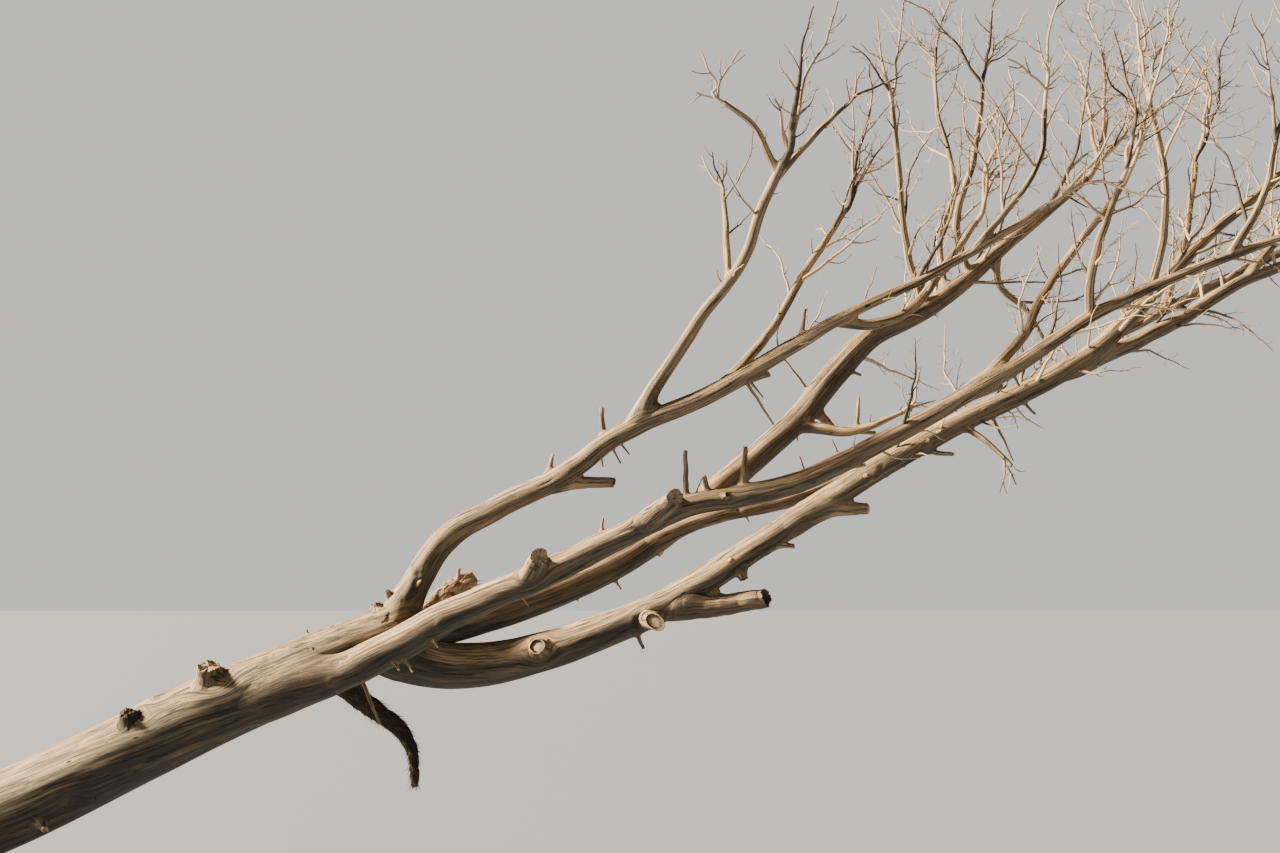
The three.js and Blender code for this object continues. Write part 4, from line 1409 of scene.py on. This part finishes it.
# %% The node tree
def twig_tree():
    """A node tree that turns edges with a radius into wavering closed tubes."""
    tree = bpy.data.node_groups.new("twigs_from_lines", "GeometryNodeTree")
    tree.interface.new_socket("Geometry", in_out="INPUT", socket_type="NodeSocketGeometry")
    for label, kind, value in (
        ("Sides", "NodeSocketInt", 6),
        ("Waver", "NodeSocketFloat", 0.003),
        ("Waver scale", "NodeSocketFloat", 14.0),
    ):
        tree.interface.new_socket(label, in_out="INPUT", socket_type=kind).default_value = value
    tree.interface.new_socket("Material", in_out="INPUT", socket_type="NodeSocketMaterial")
    tree.interface.new_socket("Geometry", in_out="OUTPUT", socket_type="NodeSocketGeometry")
    nodes = tree.nodes
    link = tree.links.new
    given = nodes.new("NodeGroupInput")
    to_curve = nodes.new("GeometryNodeMeshToCurve")
    link(given.outputs["Geometry"], to_curve.inputs["Mesh"])

    place = nodes.new("GeometryNodeInputPosition")
    noise = nodes.new("ShaderNodeTexNoise")
    noise.inputs["Detail"].default_value = 1.0
    link(place.outputs["Position"], noise.inputs["Vector"])
    link(given.outputs["Waver scale"], noise.inputs["Scale"])
    centred = nodes.new("ShaderNodeVectorMath")
    centred.operation = "SUBTRACT"
    centred.inputs[1].default_value = (0.5, 0.5, 0.5)
    link(noise.outputs["Color"], centred.inputs[0])
    freedom = nodes.new("GeometryNodeInputNamedAttribute")
    freedom.data_type = "FLOAT"
    freedom.inputs["Name"].default_value = "freedom"
    amount = nodes.new("ShaderNodeMath")
    amount.operation = "MULTIPLY"
    link(given.outputs["Waver"], amount.inputs[0])
    link(freedom.outputs["Attribute"], amount.inputs[1])
    shift = nodes.new("ShaderNodeVectorMath")
    shift.operation = "SCALE"
    link(centred.outputs["Vector"], shift.inputs[0])
    link(amount.outputs["Value"], shift.inputs["Scale"])
    waver = nodes.new("GeometryNodeSetPosition")
    link(to_curve.outputs["Curve"], waver.inputs["Geometry"])
    link(shift.outputs["Vector"], waver.inputs["Offset"])

    thickness = nodes.new("GeometryNodeInputNamedAttribute")
    thickness.data_type = "FLOAT"
    thickness.inputs["Name"].default_value = "thickness"
    profile = nodes.new("GeometryNodeCurvePrimitiveCircle")
    profile.inputs["Radius"].default_value = 1.0
    link(given.outputs["Sides"], profile.inputs["Resolution"])
    tubes = nodes.new("GeometryNodeCurveToMesh")
    tubes.inputs["Fill Caps"].default_value = True
    link(waver.outputs["Geometry"], tubes.inputs["Curve"])
    link(thickness.outputs["Attribute"], tubes.inputs["Scale"])
    link(profile.outputs["Curve"], tubes.inputs["Profile Curve"])
    smooth = nodes.new("GeometryNodeSetShadeSmooth")
    link(tubes.outputs["Mesh"], smooth.inputs["Geometry"])
    real = nodes.new("GeometryNodeRealizeInstances")
    link(smooth.outputs["Geometry"], real.inputs["Geometry"])
    paint = nodes.new("GeometryNodeSetMaterial")
    link(real.outputs["Geometry"], paint.inputs["Geometry"])
    link(given.outputs["Material"], paint.inputs["Material"])
    result = nodes.new("NodeGroupOutput")
    link(paint.outputs["Geometry"], result.inputs["Geometry"])
    return tree


twigs_from_lines = twig_tree()
print("node tree with", len(twigs_from_lines.nodes), "nodes")


# %% Lines to tubes
def run_tree(source, tree, settings):
    """The plain mesh that a node tree makes of an object."""
    modifier = source.modifiers.new("tree", "NODES")
    modifier.node_group = tree
    sockets = {item.name: item.identifier for item in tree.interface.items_tree if item.in_out == "INPUT"}
    for label, value in settings.items():
        modifier[sockets[label]] = value
    graph = bpy.context.evaluated_depsgraph_get()
    made = bpy.data.meshes.new_from_object(source.evaluated_get(graph))
    source.modifiers.remove(modifier)
    return made


tube_waver = 0.003
most_steps = 40


def tube_mesh(name, twigs, step, sides, material, tint_seed):
    """One mesh of closed tubes from a list of twigs."""
    points, edges, thickness, freedom, tint = [], [], [], [], []
    chance = random_stream(tint_seed)
    for twig in twigs:
        count = int(np.clip(round(twig["line"].length / step), 3, most_steps))
        shares = np.linspace(0, 1, count + 1)
        first = sum(len(p) for p in points)
        points.append(twig["line"].point(shares))
        edges.append(np.column_stack([np.arange(count), np.arange(1, count + 1)]) + first)
        thickness.append(twig["radius"](shares))
        freedom.append(np.minimum(shares * 4, 1))
        tint.append(np.full(count + 1, next(chance)))
    mesh = bpy.data.meshes.new(name)
    mesh.from_pydata(np.vstack(points).tolist(), np.vstack(edges).tolist(), [])
    for label, values in (("thickness", thickness), ("freedom", freedom), ("tint", tint)):
        mesh.attributes.new(label, "FLOAT", "POINT").data.foreach_set("value", np.concatenate(values))
    source = add_object(name, mesh)
    made = run_tree(source, twigs_from_lines, {"Sides": sides, "Waver": tube_waver, "Material": material})
    bpy.data.objects.remove(source)
    return made


# %% [markdown]
# ## Materials
#
# Weathered wood is a story of stripes. The sun bleaches it to silver and tan, rain draws brown streaks along the
# grain, and cracks stay dark. The sides turned from the light and the weather are darker too, most of all on the
# thick limbs: partly damp wood, partly painted shade. The material reads the grain attribute, so every stripe
# turns and flows with the relief.


# %% Shader helpers
class Shader:
    """A material that is built with few words."""

    def __init__(self, name):
        self.material = bpy.data.materials.new(name)
        self.material.use_nodes = True
        self.tree = self.material.node_tree
        self.surface = self.tree.nodes["Principled BSDF"]

    def node(self, kind, settings=None, **inputs):
        """A node with settings, and inputs that are values or other nodes' outputs."""
        made = self.tree.nodes.new(kind)
        for label, value in (settings or {}).items():
            setattr(made, label, value)
        for label, value in inputs.items():
            place = int(label[1:]) if label[1:].isdigit() else label.replace("_", " ")
            socket = made.inputs[place]
            if isinstance(value, bpy.types.NodeSocket):
                self.tree.links.new(value, socket)
            else:
                socket.default_value = value
        return made

    def attribute(self, name):
        """Reads an attribute of the mesh."""
        return self.node("ShaderNodeAttribute", {"attribute_name": name})

    def scaled(self, vector, scale):
        """A vector stretched by three factors."""
        made = self.node("ShaderNodeVectorMath", {"operation": "MULTIPLY"}, i0=vector, i1=scale)
        return made.outputs["Vector"]

    def noise(self, vector, scale=1.0, detail=3.0, roughness=0.5, distortion=0.0):
        """Noise from 0 to 1."""
        return self.node("ShaderNodeTexNoise", Vector=vector, Scale=scale, Detail=detail, Roughness=roughness,
                         Distortion=distortion).outputs["Fac"]

    def span(self, value, low, high, to_low=0.0, to_high=1.0):
        """A value moved from one range to another, and kept inside it."""
        made = self.node("ShaderNodeMapRange", Value=value)
        for label, number in (("From Min", low), ("From Max", high), ("To Min", to_low), ("To Max", to_high)):
            made.inputs[label].default_value = number
        return made.outputs["Result"]

    def sum(self, *values):
        """Values added up."""
        total = values[0]
        for value in values[1:]:
            total = self.node("ShaderNodeMath", {"operation": "ADD"}, i0=total, i1=value).outputs["Value"]
        return total

    def times(self, first, second):
        """Two values multiplied."""
        return self.node("ShaderNodeMath", {"operation": "MULTIPLY"}, i0=first, i1=second).outputs["Value"]

    def blend(self, share, first, second):
        """A blend of two values."""
        return self.sum(first, self.times(share, self.sum(second, self.times(first, -1.0))))

    def mix(self, share, first, second):
        """A blend of two colours."""
        made = self.node("ShaderNodeMix", {"data_type": "RGBA"})
        for label, value in (("Factor_Float", share), ("A_Color", first), ("B_Color", second)):
            socket = next(s for s in made.inputs if s.identifier == label)
            if isinstance(value, bpy.types.NodeSocket):
                self.tree.links.new(value, socket)
            else:
                socket.default_value = value
        return next(s for s in made.outputs if s.identifier == "Result_Color")

    def finish(self, color, roughness, height, depth):
        """Connects colour, roughness and relief to the surface."""
        link = self.tree.links.new
        link(color, self.surface.inputs["Base Color"])
        if isinstance(roughness, bpy.types.NodeSocket):
            link(roughness, self.surface.inputs["Roughness"])
        else:
            self.surface.inputs["Roughness"].default_value = roughness
        bump = self.node("ShaderNodeBump", Strength=1.0, Distance=depth, Height=height)
        link(bump.outputs["Normal"], self.surface.inputs["Normal"])
        return self.material


# %% Bare wood
silver = (0.72, 0.515, 0.30, 1)
tan = (0.47, 0.32, 0.178, 1)
brown = (0.10, 0.071, 0.044, 1)
weathered = (0.085, 0.068, 0.048, 1)
damp_and_shade = (0.036, 0.032, 0.024, 1)
crack_knot_and_shade_dark = (0.014, 0.011, 0.008, 1)
end_light = (0.66, 0.49, 0.30, 1)
light_and_weather_side = (-0.36, 0.12, 0.925)  # the way the lit, bleached sides face; the sides turned from it get painted shade


def wood_pattern(shader, grain):
    """Colour, depth of dark marks, relief and roughness of bare wood for one run of the grain."""
    broad = shader.noise(shader.scaled(grain, (9, 9, 1.2)), detail=4, roughness=0.6)
    patch = shader.noise(shader.scaled(grain, (26, 26, 2.2)), detail=7, roughness=0.72)
    streak = shader.noise(shader.scaled(grain, (85, 85, 2.2)), detail=7, roughness=0.78)
    fibre = shader.noise(shader.scaled(grain, (430, 430, 8)), detail=4, roughness=0.6)
    dash = shader.noise(shader.scaled(grain, (120, 120, 4.2)), detail=4, roughness=0.6)
    bleached = shader.noise(shader.scaled(grain, (75, 75, 1.7)), detail=5, roughness=0.65)
    color = shader.mix(shader.span(broad, 0.38, 0.62), silver, tan)
    color = shader.mix(shader.span(patch, 0.5, 0.68, 0, 0.55), color, weathered)
    color = shader.mix(shader.span(streak, 0.46, 0.6, 0, 0.75), color, brown)
    color = shader.mix(shader.span(fibre, 0.45, 0.6, 0, 0.5), color, brown)
    color = shader.mix(shader.span(dash, 0.5, 0.59, 0, 0.85), color, brown)

    # Painted shade, partly damp wood: the sides turned from the light and the weather are darkened, most of all
    # on thick limbs.
    normal = shader.node("ShaderNodeNewGeometry").outputs["Normal"]
    facing = shader.node("ShaderNodeVectorMath", {"operation": "DOT_PRODUCT"}, i0=normal, i1=light_and_weather_side)
    thickness = shader.node("ShaderNodeVectorMath", {"operation": "LENGTH"}, i0=shader.scaled(grain, (1, 1, 0)))
    thick = shader.span(thickness.outputs["Value"], 0.015, 0.06, 0.35, 1.0)
    shaded_and_damp = shader.times(shader.span(facing.outputs["Value"], 0.3, -0.35), thick)
    patchy = shader.span(patch, 0.34, 0.56, 0.72, 1.0)
    color = shader.mix(shader.span(bleached, 0.57, 0.64, 0, 0.4), color, silver)
    color = shader.mix(shader.times(shaded_and_damp, patchy), color, damp_and_shade)

    drawn = shader.noise(shader.scaled(grain, (70, 70, 1.6)), detail=3, roughness=0.45, distortion=0.3)
    off_middle = shader.node("ShaderNodeMath", {"operation": "SUBTRACT"}, i0=drawn, i1=0.5).outputs["Value"]
    off_middle = shader.node("ShaderNodeMath", {"operation": "ABSOLUTE"}, i0=off_middle).outputs["Value"]
    hairline = shader.times(shader.span(off_middle, 0.006, 0.025, 1, 0), shader.span(patch, 0.44, 0.54))
    spots = shader.node("ShaderNodeTexVoronoi", Vector=shader.scaled(grain, (16, 16, 6)), Scale=1.0)
    spot = shader.span(spots.outputs["Distance"], 0.055, 0.085, 1, 0)
    spot = shader.times(spot, shader.span(broad, 0.46, 0.5))
    dark = shader.node("ShaderNodeMath", {"operation": "MAXIMUM"}, i0=shader.times(hairline, 0.85), i1=spot)
    dark = dark.outputs["Value"]
    relief = shader.sum(shader.times(streak, -0.75), shader.times(fibre, -0.12), shader.times(patch, -0.8),
                        shader.times(shader.span(dash, 0.54, 0.66), -0.25))
    return color, dark, relief, shader.span(streak, 0.3, 0.8, 0.65, 0.9), fibre


def bare_wood():
    """Bleached barkless wood with streaks, cracks, knots and end grain, and painted shade on the sides turned
    from the light, in holes and in hollows.
    """
    shader = Shader("bare_wood")
    grain = shader.attribute("grain").outputs["Vector"]
    own = wood_pattern(shader, grain)
    other = wood_pattern(shader, shader.attribute("bearer_grain").outputs["Vector"])
    joined = shader.attribute("joined").outputs["Fac"]
    color = shader.mix(joined, own[0], other[0])
    marks = [shader.blend(joined, first, second) for first, second in zip(own[1:], other[1:])]
    dark, relief, rough, fibre = marks

    wide = shader.span(shader.attribute("crack").outputs["Fac"], 0.15, 0.7)
    deep = shader.node("ShaderNodeMath", {"operation": "MAXIMUM"}, i0=wide, i1=dark).outputs["Value"]
    color = shader.mix(deep, color, crack_knot_and_shade_dark)
    # Knots are dark wood; the same mark paints shade into holes, pits, hollows and dark snags.
    knot_and_shade = shader.span(shader.attribute("knot_and_shade").outputs["Fac"], 0.2, 1.0, 0, 0.9)
    color = shader.mix(knot_and_shade, color, crack_knot_and_shade_dark)

    flat = shader.scaled(grain, (1, 1, 0))
    across = shader.node("ShaderNodeVectorMath", {"operation": "LENGTH"}, i0=flat)
    ring_phase = shader.times(across.outputs["Value"], 1500.0)
    rings = shader.node("ShaderNodeMath", {"operation": "SINE"}, i0=ring_phase)
    ring_tone = shader.span(rings.outputs["Value"], -1, 1, 0, 0.25)
    spoke = shader.node("ShaderNodeVectorMath", {"operation": "NORMALIZE"}, i0=flat)
    radial = shader.noise(shader.scaled(spoke.outputs["Vector"], (2.2, 2.2, 1)), detail=2)
    radial = shader.node("ShaderNodeMath", {"operation": "SUBTRACT"}, i0=radial, i1=0.5).outputs["Value"]
    radial = shader.node("ShaderNodeMath", {"operation": "ABSOLUTE"}, i0=radial).outputs["Value"]
    split_face = shader.span(radial, 0.004, 0.02, 0.9, 0)
    end_color = shader.mix(shader.sum(ring_tone, shader.span(fibre, 0.4, 0.7, 0, 0.3)), end_light, brown)
    end_color = shader.mix(split_face, end_color, crack_knot_and_shade_dark)
    end_color = shader.mix(knot_and_shade, end_color, crack_knot_and_shade_dark)
    color = shader.mix(shader.attribute("end").outputs["Fac"], color, end_color)
    return shader.finish(color, rough, shader.sum(relief, shader.times(deep, -1.2)), 0.0045)


# %% Old bark
bark_cream = (0.64, 0.48, 0.32, 1)
bark_tan = (0.40, 0.27, 0.16, 1)
bark_rust = (0.22, 0.075, 0.03, 1)
bark_dark = (0.025, 0.018, 0.011, 1)
bark_brown = (0.13, 0.08, 0.042, 1)


def old_bark():
    """Shredded bark with rusty flecks, bleached on one limb and dark on the other."""
    shader = Shader("old_bark")
    grain = shader.attribute("grain").outputs["Vector"]
    bleached = shader.attribute("bleached").outputs["Fac"]
    shreds = shader.noise(shader.scaled(grain, (150, 150, 45)), detail=5, roughness=0.7, distortion=0.6)
    flecks = shader.noise(shader.scaled(grain, (60, 60, 34)), detail=5, roughness=0.7)
    patch = shader.noise(shader.scaled(grain, (22, 22, 9)), detail=4, roughness=0.6)
    pale = shader.mix(shader.span(shreds, 0.4, 0.62), bark_cream, bark_tan)
    pale = shader.mix(shader.span(flecks, 0.54, 0.6, 0, 0.8), pale, bark_rust)
    deep = shader.mix(shader.span(shreds, 0.36, 0.52), bark_brown, bark_dark)
    deep = shader.mix(shader.span(patch, 0.42, 0.58, 0.9, 0.15), deep, bark_dark)
    deep = shader.mix(shader.span(flecks, 0.55, 0.66, 0, 0.6), deep, bark_rust)
    color = shader.mix(bleached, deep, pale)
    pits = shader.span(shreds, 0.54, 0.64, 0, 0.9)
    color = shader.mix(pits, color, bark_dark)
    return shader.finish(color, 0.95, shader.sum(shader.times(shreds, -1.0), shader.times(patch, 0.5)), 0.007)


# %% Dry twigs
twig_pale = (0.52, 0.385, 0.24, 1)
twig_grey = (0.29, 0.225, 0.155, 1)
twig_dark = (0.05, 0.037, 0.026, 1)


def dry_twigs():
    """Dry twigs, each with a tone of its own, some of them dark with age."""
    shader = Shader("bare_twigs")
    tint = shader.attribute("tint").outputs["Fac"]
    place = shader.node("ShaderNodeTexCoord").outputs["Object"]
    patch = shader.noise(place, scale=9, detail=4, roughness=0.6)
    color = shader.mix(shader.span(tint, 0.25, 0.65), twig_pale, twig_grey)
    aged = shader.span(shader.sum(shader.times(tint, 0.5), patch), 0.81, 0.92, 0, 0.95)
    color = shader.mix(aged, color, twig_dark)
    relief = shader.noise(place, scale=160, detail=3)
    return shader.finish(color, 0.85, relief, 0.001)


wood_finish = bare_wood()
bark_finish = old_bark()
twig_finish = dry_twigs()
print("materials:", wood_finish.name, bark_finish.name, twig_finish.name)

# %% [markdown]
# ## Put the pieces in their places
#
# Every limb's fine mesh stands for its solid, and every mass of twigs for its own. They all ride on the one
# body, as nothing in a tree turns on a joint.

# %% Limbs
for name, piece in limb_pieces.items():
    piece.data.materials.clear()
    piece.data.materials.append(bark_finish if name in barked else wood_finish)
    if name in barked:
        bleached = piece.data.attributes.new("bleached", "FLOAT", "POINT")
        bleached.data.foreach_set("value", np.full(len(piece.data.vertices), barked[name]))
    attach(piece, "root")
    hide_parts(name)
print(len(limb_pieces), "limbs in place")

# %% Twig masses
thick_step = 0.022
fine_step = 0.02
thick_sides = 8
spur_sides = 6
fine_sides = 4
thick_tint = 900
fine_tint = 950
along_tint = 990

for index, (name, (thick, thin)) in enumerate(grown.items()):
    meshes = [
        tube_mesh(f"{name}_thick", thick, thick_step, thick_sides, twig_finish, thick_tint + index),
        tube_mesh(f"{name}_thin", thin, fine_step, fine_sides, twig_finish, fine_tint + index),
    ]
    piece = join_meshes(f"{name}_dry_twigs", meshes)
    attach(piece, "root")
    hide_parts(f"{name}_twigs")

meshes = [
    tube_mesh("along_thick", along_limbs, fine_step, spur_sides, twig_finish, along_tint),
    tube_mesh("along_thin", fine_along_limbs, fine_step, fine_sides, twig_finish, along_tint + 1),
]
piece = join_meshes("limb_dry_twigs", meshes)
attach(piece, "root")
counts = {o.name: len(o.data.polygons) for o in bpy.data.objects if o.name.endswith("_dry_twigs")}
print("twig faces:", sum(counts.values()), "of which the most in one piece:", max(counts.values()))

# %% Sizes
visual_box = [list(corner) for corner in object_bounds()]
print("visual box", [[round(v, 3) for v in corner] for corner in visual_box])
